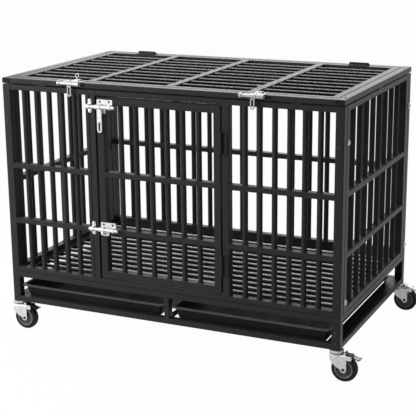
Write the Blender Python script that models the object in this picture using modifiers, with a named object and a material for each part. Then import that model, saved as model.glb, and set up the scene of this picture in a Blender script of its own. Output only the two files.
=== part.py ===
# Welded steel dog cage on casters: two pull-out trays, a front door and a hinged lid.
# Metres, +Z up. Front is -Y. The origin is on the floor, under the middle of the cage.
import math

import bmesh
import bpy
from mathutils import Matrix, Vector

# Cage
cage_width = 1.067
cage_depth = 0.650
cage_height = 0.700
caster_height = 0.090
fit_gap = 0.0003

# Square tube and round bar
post_size = 0.025
weld_step = 0.0003
weld_depth = 0.004
bar_radius = 0.008
bar_sides = 8
round_sides = 14

# Base
base_rail_height = 0.017
base_height = 0.097
divider_width = 0.016
floor_bar_radius = 0.006
floor_bar_pitch = 0.046
floor_beam_width = 0.012
runner_width = 0.020
runner_thickness = 0.003

# Trays
tray_height = 0.036
tray_wall = 0.002
tray_side_clearance = 0.003
tray_rim = 0.008
tray_taper = 0.010
tray_set_back = 0.002

# Panels. Heights are above the legs' lower ends, drops are below the cage's top
panel_rail_height = 0.016
panel_top_gap = 0.003
upper_mid_drop = 0.266
lower_mid_height = 0.262
single_mid_height = 0.385
front_left_bay = 0.258
jamb_outer_width = 0.013
jamb_inner_width = 0.019
jamb_seam = 0.001
hinge_jamb_width = 0.020
front_left_bars = 5
front_right_bars = 6
rear_bar_count = 16
side_bar_count = 8

# Door, its width measured between the jambs
door_opening = 0.401
door_latch_gap = 0.0055
door_hinge_gap = 0.005
door_end_gap = 0.0035
door_tube = 0.022
door_bars = 6

# Top frame and lid
top_tube_height = 0.016
lid_rail_width = 0.022
lid_gap = 0.002
lid_cross_width = 0.025
lid_cross_count = 3
lid_bars_per_bay = 9
lid_bar_radius = 0.0065
lid_stop_gap = 0.0006
stop_length = 0.030
stop_reach = 0.012
stop_inset = 0.120

# Hinges
hinge_barrel_radius = 0.005
hinge_pin_radius = 0.0022
hinge_length = 0.062
hinge_leaf = 0.002
hinge_leaf_reach = 0.019
upper_hinge_drop = 0.1415
lower_hinge_height = 0.2035
lid_barrel_radius = 0.004
lid_hinge_inset = 0.160
pin_end = 0.001
pin_tab = 1.5

# Barrel bolts
bolt_radius = 0.005
bolt_clearance = 0.0004
bolt_wall = 0.0022
bolt_stand_off = 0.0105
bolt_plate = 0.0016
bolt_plate_height = 0.041
bolt_plate_length = 0.051
bolt_loop_length = 0.007
bolt_plate_inset = 0.002
bolt_lower_flange = 0.028
bolt_length = 0.098
bolt_dome = 0.003
bolt_tip_past_keeper = 0.007
keeper_length = 0.011
keeper_ear_spacing = 0.029
keeper_ear_radius = 0.006
collar_length = 0.010
handle_thickness = 0.003
upper_handle_width = 0.015
upper_handle_length = 0.075
lid_handle_width = 0.013
lid_handle_length = 0.038
handle_slot_width = 0.006
handle_shoulder = 0.001
upper_slot_length = 0.020
lid_slot_length = 0.018
grip_reach = 0.014
grip_radius = 0.0035
grip_slope = 0.5
lid_loop_inset = 0.003
lid_deck_width = 0.019
lid_deck_reach = 0.046
keeper_tab = 0.012
upper_bolt_drop = 0.065
lower_bolt_height = 0.269
keeper_inset = 0.0215
lid_bolt_stand_off = 0.0100
lid_bolt_drop = 0.003
lid_bolt_length = 0.075
lid_keeper_length = 0.021
left_lid_bolt = 0.196
right_lid_bolt = 0.298
eye_set_back = 0.034
eye_radius = 0.0065
eye_height = 0.020
eye_wire = 0.0016
eye_ring_width = 0.0026
eye_neck_half = 0.0024

# Casters
wheel_radius = 0.0375
wheel_width = 0.022
hub_radius = 0.026
caster_trail = 0.024
axle_radius = 0.004
fork_plate = 0.0025
fork_gap = 0.0022
fork_half_length = 0.020
race_radius = 0.020
race_height = 0.0055
mount_disc_radius = 0.0215
pedal_width = 0.018
pedal_thickness = 0.002
pedal_pivot_out = 0.026
pedal_reach = 0.046
pedal_rise = 0.0040
pedal_fall = 0.012
pedal_lip = 0.006
pedal_lip_rise = 0.0024
pedal_ear_head = 0.0022
pedal_barrel = 0.0028
pedal_pin = 0.0013
shoe_out = 0.009
shoe_length = 0.004
shoe_width = 0.012
shoe_clearance = 0.0040
fork_side_gap = 0.002
fork_ear = 0.010
cheek_out = 0.047
cheek_height = 0.014
fork_toe_radius = 0.0088
axle_head = 0.002
hub_dish = 0.004
hub_rim = 0.003
tyre_shoulder = 0.004

# Places worked out from the sizes above
left = -cage_width / 2
right = cage_width / 2
front = -cage_depth / 2
rear = cage_depth / 2
leg_foot = caster_height
base_top = leg_foot + base_height
cage_top = leg_foot + cage_height
top_frame_foot = cage_top - top_tube_height
panel_foot = base_top + fit_gap
panel_head = top_frame_foot - panel_top_gap
door_left = left + post_size + front_left_bay + jamb_outer_width + jamb_inner_width
door_right = door_left + door_opening
door_x = (door_left + door_latch_gap, door_right - door_hinge_gap)
door_z = (panel_foot + panel_rail_height + door_end_gap, panel_head - panel_rail_height - door_end_gap)
hinge_x = door_right - door_hinge_gap / 2
hinge_y = front - hinge_barrel_radius - 2 * fit_gap
lid_x = (left + post_size + lid_gap, right - post_size - lid_gap)
lid_y = (front + post_size + lid_gap, rear - post_size - lid_gap)
lid_hinge_y = rear - post_size - lid_gap / 2
lid_hinge_z = cage_top + lid_barrel_radius + 2 * fit_gap
inner_left = left + post_size
inner_right = right - post_size
inner_front = front + post_size
inner_rear = rear - post_size
front_bar_y = front + post_size / 2
rear_bar_y = rear - post_size / 2
sill_top = panel_foot + panel_rail_height
head_foot = panel_head - panel_rail_height
two_mids = [leg_foot + lower_mid_height, cage_top - upper_mid_drop]
one_mid = [leg_foot + single_mid_height]

parts = None
cutters = None


def clear_scene():
    for item in list(bpy.data.objects):
        bpy.data.objects.remove(item, do_unlink=True)


def new_collection(name):
    collection = bpy.data.collections.new(name)
    bpy.context.scene.collection.children.link(collection)
    return collection


def finish_material(name, color, roughness, metallic):
    material = bpy.data.materials.new(name)
    material.use_nodes = True
    shader = material.node_tree.nodes["Principled BSDF"]
    shader.inputs["Base Color"].default_value = (*color, 1.0)
    shader.inputs["Roughness"].default_value = roughness
    shader.inputs["Metallic"].default_value = metallic
    return material


def powder_coat(name):
    return finish_material(name, (0.045, 0.045, 0.047), 0.5, 0.1)


def zinc(name):
    return finish_material(name, (0.72, 0.73, 0.74), 0.28, 1.0)


def black_plastic(name):
    return finish_material(name, (0.02, 0.02, 0.021), 0.4, 0.0)


def rubber(name):
    return finish_material(name, (0.018, 0.018, 0.018), 0.75, 0.0)


def grey_plastic(name):
    return finish_material(name, (0.45, 0.46, 0.47), 0.45, 0.0)


def place(mesh, name, make_finish, sharp_angle=35):
    """Put a mesh in the scene as one sub-part with its own material."""
    item = bpy.data.objects.new(name, mesh)
    parts.objects.link(item)
    mesh.materials.clear()
    mesh.materials.append(make_finish(name))
    mesh.shade_smooth()
    mesh.set_sharp_from_angle(angle=math.radians(sharp_angle))
    return item


def mesh_from(bm, name="shape"):
    mesh = bpy.data.meshes.new(name)
    bm.to_mesh(mesh)
    bm.free()
    return mesh


def add_block(bm, low, high):
    low = Vector(low)
    high = Vector(high)
    matrix = Matrix.Translation((low + high) / 2) @ Matrix.Diagonal((*(high - low), 1.0))
    return bmesh.ops.create_cube(bm, size=1.0, matrix=matrix)["verts"]


def blocks(*corners):
    """Blocks that don't touch each other, in one mesh, each given as (low, high)."""
    bm = bmesh.new()
    for low, high in corners:
        add_block(bm, low, high)
    return mesh_from(bm)


def along(start, end):
    """Matrix that lays the Z axis from start to end, centred between them."""
    start = Vector(start)
    end = Vector(end)
    turn = (end - start).to_track_quat("Z", "X").to_matrix().to_4x4()
    return Matrix.Translation((start + end) / 2) @ turn


def add_rod(bm, start, end, radius, sides):
    length = (Vector(end) - Vector(start)).length
    matrix = along(start, end) @ Matrix.Rotation(math.pi / sides, 4, "Z")
    bmesh.ops.create_cone(bm, cap_ends=True, segments=sides, radius1=radius, radius2=radius,
                          depth=length, matrix=matrix)


def rods(lines, radius, sides=bar_sides):
    """Round bars that don't touch each other, in one mesh, each given as (start, end)."""
    bm = bmesh.new()
    for start, end in lines:
        add_rod(bm, start, end, radius, sides)
    return mesh_from(bm)


def rod(start, end, radius, sides=round_sides):
    return rods([(start, end)], radius, sides)


def evenly(low, high, count):
    """Centres of count bars with equal gaps between low and high."""
    pitch = (high - low) / (count + 1)
    return [low + pitch * (index + 1) for index in range(count)]


def scratch(data, name):
    """A helper, kept with the cutters and out of the render."""
    item = bpy.data.objects.new(name, data)
    cutters.objects.link(item)
    item.hide_render = True
    item.display_type = "WIRE"
    return item


def evaluated_mesh(item):
    bpy.context.view_layer.update()
    graph = bpy.context.evaluated_depsgraph_get()
    return bpy.data.meshes.new_from_object(item.evaluated_get(graph))


def combine(base, others, operation):
    """Boolean the other meshes into the base mesh, one after another, and return the result."""
    item = scratch(base, "work")
    helpers = []
    for mesh in others:
        helper = scratch(mesh, "helper")
        modifier = item.modifiers.new("boolean", "BOOLEAN")
        modifier.operation = operation
        modifier.solver = "EXACT"
        modifier.object = helper
        helpers.append(helper)
    result = evaluated_mesh(item)
    for helper in helpers + [item]:
        bpy.data.objects.remove(helper, do_unlink=True)
    return result


def weld(*meshes):
    return combine(meshes[0], meshes[1:], "UNION")


def cut(base, *holes):
    return combine(base, holes, "DIFFERENCE")


def moved(mesh, matrix):
    """The mesh laid elsewhere, as a copy."""
    copy = mesh.copy()
    copy.transform(matrix)
    return copy


def outline_plate(points, thickness, matrix):
    """A flat outline given a thickness, centred on its plane, as a mesh with welded edges."""
    curve = bpy.data.curves.new("outline", "CURVE")
    curve.dimensions = "2D"
    curve.fill_mode = "BOTH"
    curve.extrude = thickness / 2
    spline = curve.splines.new("POLY")
    spline.points.add(len(points) - 1)
    for point, (u, v) in zip(spline.points, points):
        point.co = (u, v, 0.0, 1.0)
    spline.use_cyclic_u = True
    item = scratch(curve, "outline")
    mesh = evaluated_mesh(item)
    bpy.data.objects.remove(item, do_unlink=True)
    return closed(mesh, matrix)


def closed(mesh, matrix):
    """Weld a mesh's doubles, point its faces outwards and lay it in its place."""
    bm = bmesh.new()
    bm.from_mesh(mesh)
    bmesh.ops.remove_doubles(bm, verts=bm.verts, dist=1e-6)
    bmesh.ops.transform(bm, matrix=matrix, verts=bm.verts)
    bmesh.ops.recalc_face_normals(bm, faces=bm.faces)
    bm.to_mesh(mesh)
    bm.free()
    return mesh


def arc(center_u, center_v, radius, start, end, steps):
    """Points along an arc, angles in degrees."""
    angles = [math.radians(start + (end - start) * step / steps) for step in range(steps + 1)]
    return [(center_u + radius * math.cos(angle), center_v + radius * math.sin(angle)) for angle in angles]


def turned(profile, steps, matrix):
    """A profile of (radius, height) points turned about its own Z axis, then laid in its place."""
    bm = bmesh.new()
    verts = [bm.verts.new((radius, 0.0, height)) for radius, height in profile]
    for first, second in zip(verts, verts[1:]):
        bm.edges.new((first, second))
    if profile[0][0] > 0 and profile[-1][0] > 0:
        bm.edges.new((verts[-1], verts[0]))
    item = scratch(mesh_from(bm), "turned")
    screw = item.modifiers.new("turn", "SCREW")
    screw.axis = "Z"
    screw.steps = steps
    screw.render_steps = steps
    screw.use_merge_vertices = True
    screw.merge_threshold = 0.00001
    mesh = evaluated_mesh(item)
    bpy.data.objects.remove(item, do_unlink=True)
    return closed(mesh, matrix)


def rail_x(x0, x1, y0, y1, z0, z1):
    """A rail along X whose ends run into the uprights that it is welded to."""
    return ((x0 - weld_depth, y0 + weld_step, z0), (x1 + weld_depth, y1 - weld_step, z1))


def rail_y(x0, x1, y0, y1, z0, z1):
    """A rail along Y whose ends run into the uprights that it is welded to."""
    return ((x0 + weld_step, y0 - weld_depth, z0), (x1 - weld_step, y1 + weld_depth, z1))


# Base

def make_base_frame():
    lower = (leg_foot + weld_step, leg_foot + base_rail_height)
    upper = (base_top - base_rail_height, base_top - weld_step)
    legs = []
    rails_x = []
    rails_y = []
    dividers = []
    for x0 in (left, right - post_size):
        for y0 in (front, rear - post_size):
            legs.append(((x0, y0, leg_foot), (x0 + post_size, y0 + post_size, base_top)))
    for z0, z1 in (lower, upper):
        for y0 in (front, rear - post_size):
            rails_x.append(rail_x(inner_left, inner_right, y0, y0 + post_size, z0, z1))
        for x0 in (left, right - post_size):
            rails_y.append(rail_y(x0, x0 + post_size, inner_front, inner_rear, z0, z1))
    for y0 in (front, rear - post_size):
        dividers.append(((-divider_width / 2, y0 + 2 * weld_step, lower[1] - weld_depth),
                         (divider_width / 2, y0 + post_size - 2 * weld_step, upper[0] + weld_depth)))
    # Flat bars between the front and rear rails carry the trays
    runners = []
    runner_top = leg_foot + base_rail_height - weld_step
    for x in (inner_left - weld_step, -runner_width / 2, inner_right + weld_step - runner_width):
        runners.append(((x, inner_front - weld_depth, runner_top - runner_thickness),
                        (x + runner_width, inner_rear + weld_depth, runner_top)))
    mesh = weld(blocks(*legs), blocks(*rails_x), blocks(*rails_y), blocks(*dividers), blocks(*runners))
    place(mesh, "base_frame", powder_coat)


def make_floor_grate():
    upper = (base_top - base_rail_height, base_top - 2 * weld_step)
    x0, x1 = inner_left + fit_gap, inner_right - fit_gap
    y0, y1 = inner_front + fit_gap, inner_rear - fit_gap
    beams = [((x, y0, upper[0]), (x + floor_beam_width, y1, upper[1]))
             for x in (x0, -floor_beam_width / 2, x1 - floor_beam_width)]
    count = int((y1 - y0) / floor_bar_pitch)
    height = (upper[0] + upper[1]) / 2
    lines = [((x0 + weld_step, y, height), (x1 - weld_step, y, height)) for y in evenly(y0, y1, count)]
    place(weld(blocks(*beams), rods(lines, floor_bar_radius)), "floor_grate", powder_coat)


def make_tray(name, x0, x1):
    foot = leg_foot + base_rail_height + fit_gap
    x0 = x0 + tray_side_clearance
    x1 = x1 - tray_side_clearance
    y0 = front + tray_set_back
    y1 = inner_rear - tray_set_back
    middle = Vector(((x0 + x1) / 2, (y0 + y1) / 2, 0.0))
    bm = bmesh.new()
    low = (x0 + tray_rim, y0 + tray_rim, foot)
    high = (x1 - tray_rim, y1 - tray_rim, foot + tray_height)
    verts = add_block(bm, low, high)
    for vert in verts:
        if vert.co.z < foot + tray_height / 2:
            vert.co.x -= math.copysign(tray_taper, vert.co.x - middle.x)
            vert.co.y -= math.copysign(tray_taper, vert.co.y - middle.y)
    bm.normal_update()
    top = [face for face in bm.faces if face.normal.z > 0.9]
    brim = list(top[0].edges)
    bmesh.ops.delete(bm, geom=top, context="FACES_ONLY")
    grown = bmesh.ops.extrude_edge_only(bm, edges=brim)["geom"]
    for vert in [item for item in grown if isinstance(item, bmesh.types.BMVert)]:
        vert.co.x += math.copysign(tray_rim, vert.co.x - middle.x)
        vert.co.y += math.copysign(tray_rim, vert.co.y - middle.y)
    item = scratch(mesh_from(bm), "tray")
    solidify = item.modifiers.new("wall", "SOLIDIFY")
    solidify.thickness = tray_wall
    solidify.offset = -1.0
    mesh = evaluated_mesh(item)
    bpy.data.objects.remove(item, do_unlink=True)
    place(mesh, name, black_plastic)


# Panels

def upright_bars(xs, y, foot, head):
    return [((x, y, foot - weld_depth), (x, y, head + weld_depth)) for x in xs]


def mid_rail(z):
    return (z - panel_rail_height / 2, z + panel_rail_height / 2)


def make_panel(name, posts, uprights, rails, bars):
    """Weld posts, then rails between them, then bars whose ends run into the rails."""
    place(weld(blocks(*posts, *uprights), blocks(*rails), rods(bars, bar_radius)), name, powder_coat)


def make_front_bay(name, post_x, jambs, rail_ends, bay, bar_count):
    """One bay beside the door: corner post, jambs, sill and head rails, two mid rails and bars."""
    posts = [((post_x, front, panel_foot), (post_x + post_size, inner_front, panel_head))]
    uprights = [((x, front, sill_top - weld_depth), (x + width, inner_front, head_foot + weld_depth))
                for x, width in jambs]
    rails = [rail_x(*bay, front, inner_front, *mid_rail(z)) for z in two_mids]
    for z0, z1 in ((panel_foot + weld_step, sill_top), (head_foot, panel_head - weld_step)):
        rails.append(((rail_ends[0], front + weld_step, z0), (rail_ends[1], inner_front - weld_step, z1)))
    bars = upright_bars(evenly(*bay, bar_count), front_bar_y, sill_top, head_foot)
    make_panel(name, posts, uprights, rails, bars)


def make_front_panel():
    outer_jamb = door_left - jamb_inner_width - jamb_outer_width
    inner_jamb = door_left - jamb_inner_width
    double_jamb = [(outer_jamb, jamb_outer_width - jamb_seam), (inner_jamb, jamb_inner_width)]
    make_front_bay("front_left_bay", left, double_jamb, (inner_left - weld_depth, door_left),
                   (inner_left, outer_jamb), front_left_bars)
    hinge_jamb = [(door_right, hinge_jamb_width)]
    make_front_bay("front_right_bay", inner_right, hinge_jamb, (door_right, inner_right + weld_depth),
                   (door_right + hinge_jamb_width, inner_right), front_right_bars)
    for name, z0 in (("door_sill_rail", panel_foot), ("door_head_rail", head_foot)):
        low = (door_left + fit_gap, front + weld_step, z0 + weld_step)
        high = (door_right - fit_gap, inner_front - weld_step, z0 + panel_rail_height - weld_step)
        place(blocks((low, high)), name, powder_coat)


def make_rear_panel():
    posts = [((x, inner_rear, panel_foot), (x + post_size, rear, panel_head)) for x in (left, inner_right)]
    heights = [(panel_foot + weld_step, sill_top), (head_foot, panel_head - weld_step)]
    heights += [mid_rail(z) for z in one_mid]
    rails = [rail_x(inner_left, inner_right, inner_rear, rear, *z) for z in heights]
    bars = upright_bars(evenly(inner_left, inner_right, rear_bar_count), rear_bar_y, sill_top, head_foot)
    make_panel("rear_panel", posts, [], rails, bars)


def make_side_panel(name, x0, mids):
    x1 = x0 + post_size
    y0, y1 = inner_front + fit_gap, inner_rear - fit_gap
    posts = [((x0, y, panel_foot), (x1, y + post_size, panel_head)) for y in (y0, y1 - post_size)]
    bay = (y0 + post_size, y1 - post_size)
    heights = [(panel_foot + weld_step, sill_top), (head_foot, panel_head - weld_step)]
    heights += [mid_rail(z) for z in mids]
    rails = [rail_y(x0, x1, *bay, *z) for z in heights]
    middle = (x0 + x1) / 2
    bars = [((middle, y, sill_top - weld_depth), (middle, y, head_foot + weld_depth))
            for y in evenly(*bay, side_bar_count)]
    make_panel(name, posts, [], rails, bars)


# Door and its hinges

def make_door():
    x0, x1 = door_x
    z0, z1 = door_z
    bay = (x0 + door_tube, x1 - door_tube)
    stiles = [((x, front, z0), (x + door_tube, inner_front, z1)) for x in (x0, x1 - door_tube)]
    heights = [(z0 + weld_step, z0 + door_tube), (z1 - door_tube, z1 - weld_step)]
    heights += [mid_rail(z) for z in two_mids]
    rails = [rail_x(*bay, front, inner_front, *z) for z in heights]
    bars = upright_bars(evenly(*bay, door_bars), front_bar_y, z0 + door_tube, z1 - door_tube)
    make_panel("door", stiles, [], rails, bars)


def make_hinge(name, center, direction, leaf_side, leaf_normal, barrel_radius):
    """A three-knuckle butt hinge: the fixed leaf carries the pin, the moving leaf one knuckle.

    The barrel runs along direction. The fixed leaf reaches out along leaf_side, and
    leaf_normal points out of the surface that both leaves lie on.
    """
    direction = Vector(direction)
    leaf_side = Vector(leaf_side)
    leaf_normal = Vector(leaf_normal)
    base = Matrix((leaf_side, leaf_normal, direction)).transposed().to_4x4()
    base = Matrix.Translation(center) @ base
    half = hinge_length / 2
    third = hinge_length / 3
    leaf_back = -(barrel_radius + fit_gap)
    leaf_front = leaf_back + hinge_leaf
    root = barrel_radius + 2 * fit_gap
    pin = hinge_pin_radius * barrel_radius / hinge_barrel_radius
    low_knuckle = (-half, -half + third)
    middle_knuckle = (-half + third + fit_gap, half - third - fit_gap)
    high_knuckle = (half - third, half)
    leaves = []
    for side, spans in ((1, (low_knuckle, high_knuckle)), (-1, (middle_knuckle,))):
        low_u, high_u = sorted((side * root, side * hinge_leaf_reach))
        leaf = blocks(((low_u, leaf_back, -half + fit_gap), (high_u, leaf_front, half - fit_gap)))
        tab_low, tab_high = sorted((side * pin * pin_tab, side * (root + fit_gap)))
        tabs = blocks(*(((tab_low, leaf_back + fit_gap, z0 + fit_gap),
                         (tab_high, leaf_front - fit_gap, z1 - fit_gap)) for z0, z1 in spans))
        barrels = rods([((0, 0, z0), (0, 0, z1)) for z0, z1 in spans], barrel_radius, 16)
        leaves.append(weld(leaf, tabs, barrels))
    fixed = weld(leaves[0], rod((0, 0, -half - pin_end), (0, 0, half + pin_end), pin, 12))
    moving = cut(leaves[1], rod((0, 0, -half), (0, 0, half), pin + fit_gap, 12))
    place(closed(fixed, base), f"{name}_fixed", powder_coat)
    place(closed(moving, base), f"{name}_moving", powder_coat)


def make_hinges():
    heights = {
        "upper_door_hinge": cage_top - upper_hinge_drop,
        "lower_door_hinge": leg_foot + lower_hinge_height,
    }
    for name, z in heights.items():
        make_hinge(name, (hinge_x, hinge_y, z), (0, 0, 1), (1, 0, 0), (0, -1, 0), hinge_barrel_radius)
    for name, x in (("left_lid_hinge", left + lid_hinge_inset), ("right_lid_hinge", right - lid_hinge_inset)):
        make_hinge(name, (x, lid_hinge_y, lid_hinge_z), (1, 0, 0), (0, 1, 0), (0, 0, 1), lid_barrel_radius)


# Top frame and lid

def make_top_frame():
    z0, z1 = top_frame_foot, cage_top
    sides = [((x, front, z0), (x + post_size, rear, z1)) for x in (left, inner_right)]
    ends = [rail_x(inner_left, inner_right, y, y + post_size, z0 + weld_step, z1 - weld_step)
            for y in (front, inner_rear)]
    # Small plates under the frame hold it off the panels and stop the lid level with it
    foot = panel_head + fit_gap
    half = stop_length / 2
    reach = post_size + stop_reach
    stops = [((x, -half, foot), (x + reach, half, z0 + weld_step)) for x in (left, right - reach)]
    for x in (left + stop_inset, right - stop_inset - stop_length):
        for y in (front, rear - reach):
            stops.append(((x, y, foot), (x + stop_length, y + reach, z0 + 2 * weld_step)))
    place(weld(blocks(*sides), blocks(*ends), blocks(*stops)), "top_frame", powder_coat)


def make_lid():
    z0, z1 = top_frame_foot + lid_stop_gap, cage_top
    x0, x1 = lid_x
    y0, y1 = lid_y
    sides = [((x, y0, z0), (x + lid_rail_width, y1, z1)) for x in (x0, x1 - lid_rail_width)]
    pitch = (x1 - x0) / (lid_cross_count + 1)
    centers = [x0 + pitch * (index + 1) for index in range(lid_cross_count)]
    crosses = [((x - lid_cross_width / 2, y0, z0), (x + lid_cross_width / 2, y1, z1)) for x in centers]
    ends = []
    for y in (y0, y1 - lid_rail_width):
        low = (x0 + weld_step, y + weld_step, z0 + weld_step)
        high = (x1 - weld_step, y + lid_rail_width - weld_step, z1 - weld_step)
        ends.append((low, high))
    height = (z0 + z1) / 2
    rows = evenly(y0 + lid_rail_width, y1 - lid_rail_width, lid_bars_per_bay)
    bars = [((x0 + lid_rail_width / 2, y, height), (x1 - lid_rail_width / 2, y, height)) for y in rows]
    place(weld(blocks(*sides, *crosses), blocks(*ends), rods(bars, lid_bar_radius)), "lid", powder_coat)


# Barrel bolts

def bolt_rod_mesh(x0, x1, y, z):
    """A rod along X with a domed tip at each end."""
    length = x1 - x0
    dome = [(bolt_radius * math.cos(angle), length - bolt_dome * (1 - math.sin(angle)))
            for angle in (0.0, math.pi / 6, math.pi / 3)]
    foot = [(radius, length - height) for radius, height in reversed(dome)]
    profile = [(0.0, length)] + dome[::-1] + foot[::-1] + [(0.0, 0.0)]
    lay = Matrix.Translation((x0, y, z)) @ Matrix.Rotation(math.pi / 2, 4, "Y")
    return turned(profile, 12, lay)


def loops_along_x(spans, y, z):
    return rods([((x0, y, z), (x1, y, z)) for x0, x1 in spans], bolt_radius + bolt_wall, round_sides)


def loop_feet(spans, y, y_back, z):
    """The straight sides that tie each loop to the plate behind it."""
    reach = bolt_radius + bolt_wall - weld_step
    return blocks(*(((x0, y, z - reach), (x1, y_back, z + reach)) for x0, x1 in spans))


def bolt_bore(x0, x1, y, z):
    return rod((x0, y, z), (x1, y, z), bolt_radius + bolt_clearance)


def handle_mesh(x, y, z, width, length, slot_length):
    """A collar on the rod with a flat slotted strip that hangs from it."""
    collar = loops_along_x([(x - collar_length / 2, x + collar_length / 2)], y, z)
    half = width / 2
    neck = collar_length / 2 - weld_step
    shoulder = -(bolt_radius + bolt_wall + handle_shoulder)
    outline = arc(0.0, -(length - half), half, 180, 360, 8)
    outline += [(half, shoulder), (neck, shoulder), (neck, -bolt_radius)]
    outline += [(-neck, -bolt_radius), (-neck, shoulder), (-half, shoulder)]
    lay = Matrix.Translation((x, y, z)) @ Matrix.Rotation(math.pi / 2, 4, "X")
    strip = outline_plate(outline, handle_thickness, lay)
    reach = handle_slot_width / 2
    slot_foot = -(length - half)
    slot_outline = arc(0.0, slot_foot, reach, 180, 360, 6)
    slot_outline += arc(0.0, slot_foot + slot_length, reach, 0, 180, 6)
    slot = outline_plate(slot_outline, handle_thickness * 3, lay)
    bore = bolt_bore(x - collar_length, x + collar_length, y, z)
    return cut(weld(collar, strip), slot, bore)


def keeper_ears(x, y_back, z):
    """The keeper's foot plate: two round ears above and below the rod, joined by a strip."""
    half = keeper_ear_spacing / 2
    low = arc(0.0, -half, keeper_ear_radius, 180, 360, 10)
    high = arc(0.0, half, keeper_ear_radius, 0, 180, 10)
    lay = Matrix.Translation((x, y_back - bolt_plate / 2, z)) @ Matrix.Rotation(math.pi / 2, 4, "X")
    return outline_plate(low + high, bolt_plate, lay)


def make_door_bolt(name, z):
    y = front - bolt_stand_off
    keeper_x = door_left - keeper_inset
    tip = keeper_x - bolt_tip_past_keeper
    back = front - fit_gap

    reach = bolt_radius + bolt_wall
    hump = blocks(((keeper_x, y, z - reach), (keeper_x + keeper_length, back, z + reach)))
    ears = keeper_ears(keeper_x + keeper_length / 2, back, z)
    strap = loops_along_x([(keeper_x, keeper_x + keeper_length)], y, z)
    hole = bolt_bore(keeper_x - keeper_length, keeper_x + 2 * keeper_length, y, z)
    place(cut(weld(ears, hump, strap), hole), f"{name}_keeper", zinc)

    plate_x = door_x[0] + bolt_plate_inset
    plate_end = plate_x + bolt_plate_length
    half = bolt_plate_height / 2
    upper_flange = ((plate_x, back - bolt_plate, z), (plate_end, back, z + half))
    lower_flange = ((plate_x + weld_step, back - bolt_plate + weld_step, z - half),
                    (plate_x + bolt_lower_flange, back - weld_step, z + weld_depth))
    spans = ((plate_x + 2 * weld_step, plate_x + bolt_loop_length),
             (plate_end - bolt_loop_length, plate_end - 2 * weld_step))
    feet = loop_feet([(x0 + weld_step, x1 - weld_step) for x0, x1 in spans], y, back - 2 * weld_step, z)
    body = weld(blocks(upper_flange), blocks(lower_flange), feet, loops_along_x(spans, y, z))
    place(cut(body, bolt_bore(plate_x - reach, plate_end + reach, y, z)), f"{name}_body", zinc)

    place(bolt_rod_mesh(tip, tip + bolt_length, y, z), f"{name}_rod", zinc)
    return Vector((plate_x + bolt_loop_length + fit_gap + collar_length / 2, y, z))


def make_door_bolts():
    grip_at = make_door_bolt("lower_bolt", leg_foot + lower_bolt_height)
    handle_at = make_door_bolt("upper_bolt", cage_top - upper_bolt_drop)
    handle = handle_mesh(*handle_at, upper_handle_width, upper_handle_length, upper_slot_length)
    place(handle, "upper_bolt_handle", zinc)
    half = Vector((collar_length / 2, 0, 0))
    collar = rod(grip_at - half, grip_at + half, bolt_radius + bolt_wall, round_sides)
    stub = rod(grip_at, grip_at - Vector((0, grip_reach * grip_slope, grip_reach)), grip_radius, 12)
    bore = bolt_bore(grip_at.x - collar_length, grip_at.x + collar_length, grip_at.y, grip_at.z)
    place(cut(weld(collar, stub), bore), "lower_bolt_grip", zinc)


def make_lid_bolt(name, x0):
    x1 = x0 + lid_bolt_length
    y = front - lid_bolt_stand_off
    z = cage_top - lid_bolt_drop
    reach = bolt_radius + bolt_wall
    deck = cage_top + fit_gap

    place(bolt_rod_mesh(x0, x1, y, z), f"{name}_rod", zinc)

    # The keeper: a tube in front of the fixed rail, with a tab bent back over the rail
    keeper_x = x1 - lid_keeper_length
    tube = loops_along_x([(keeper_x, x1)], y, z)
    web = blocks(((keeper_x + weld_step, y, deck), (x1 - weld_step, front + keeper_tab, deck + bolt_plate)))
    place(cut(weld(tube, web), bolt_bore(keeper_x - reach, x1 + reach, y, z)), f"{name}_keeper", zinc)

    # The body rides on the lid: a deck plate over the fixed rail, a strip behind the rod, loops, an eye
    loop_x = keeper_x - fit_gap * 2 - bolt_loop_length
    outer_loop = (x0 + lid_loop_inset, x0 + lid_loop_inset + bolt_loop_length)
    inner_loop = (loop_x, loop_x + bolt_loop_length)
    spans = (outer_loop, inner_loop)
    strip = ((outer_loop[0], front - fit_gap - bolt_plate, z - bolt_radius),
             (inner_loop[1], front - fit_gap, deck + bolt_plate))
    deck_x = (inner_loop[1] - lid_deck_width, inner_loop[1] - weld_step)
    deck_plate = ((deck_x[0], front - bolt_plate, deck + weld_step),
                  (deck_x[1], front + lid_deck_reach, deck + bolt_plate - weld_step))
    loops = loops_along_x([(a + weld_step, b - weld_step) for a, b in spans], y, z)
    foot_back = front - fit_gap - weld_step
    feet = loop_feet([(a + 2 * weld_step, b - 2 * weld_step) for a, b in spans], y, foot_back, z)
    eye_x = (deck_x[0] + deck_x[1]) / 2
    eye_y = front + eye_set_back
    eye_z = deck + eye_height - eye_radius
    eye_plate = ((eye_x - eye_neck_half, eye_y - eye_wire, deck + weld_step * 2),
                 (eye_x + eye_neck_half, eye_y + eye_wire, eye_z))
    half = eye_wire - weld_step
    ring = rod((eye_x, eye_y - half, eye_z), (eye_x, eye_y + half, eye_z), eye_radius)
    body = weld(blocks(strip), blocks(deck_plate), feet, loops, blocks(eye_plate), ring)
    eye_hole = rod((eye_x, eye_y - eye_radius, eye_z), (eye_x, eye_y + eye_radius, eye_z),
                   eye_radius - eye_ring_width, 10)
    body = cut(body, eye_hole, bolt_bore(x0 - reach, x1 + reach, y, z))
    place(body, f"{name}_body", zinc)

    handle_x = loop_x - fit_gap - collar_length / 2
    handle = handle_mesh(handle_x, y, z, lid_handle_width, lid_handle_length, lid_slot_length)
    place(handle, f"{name}_handle", zinc)


# Casters

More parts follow.
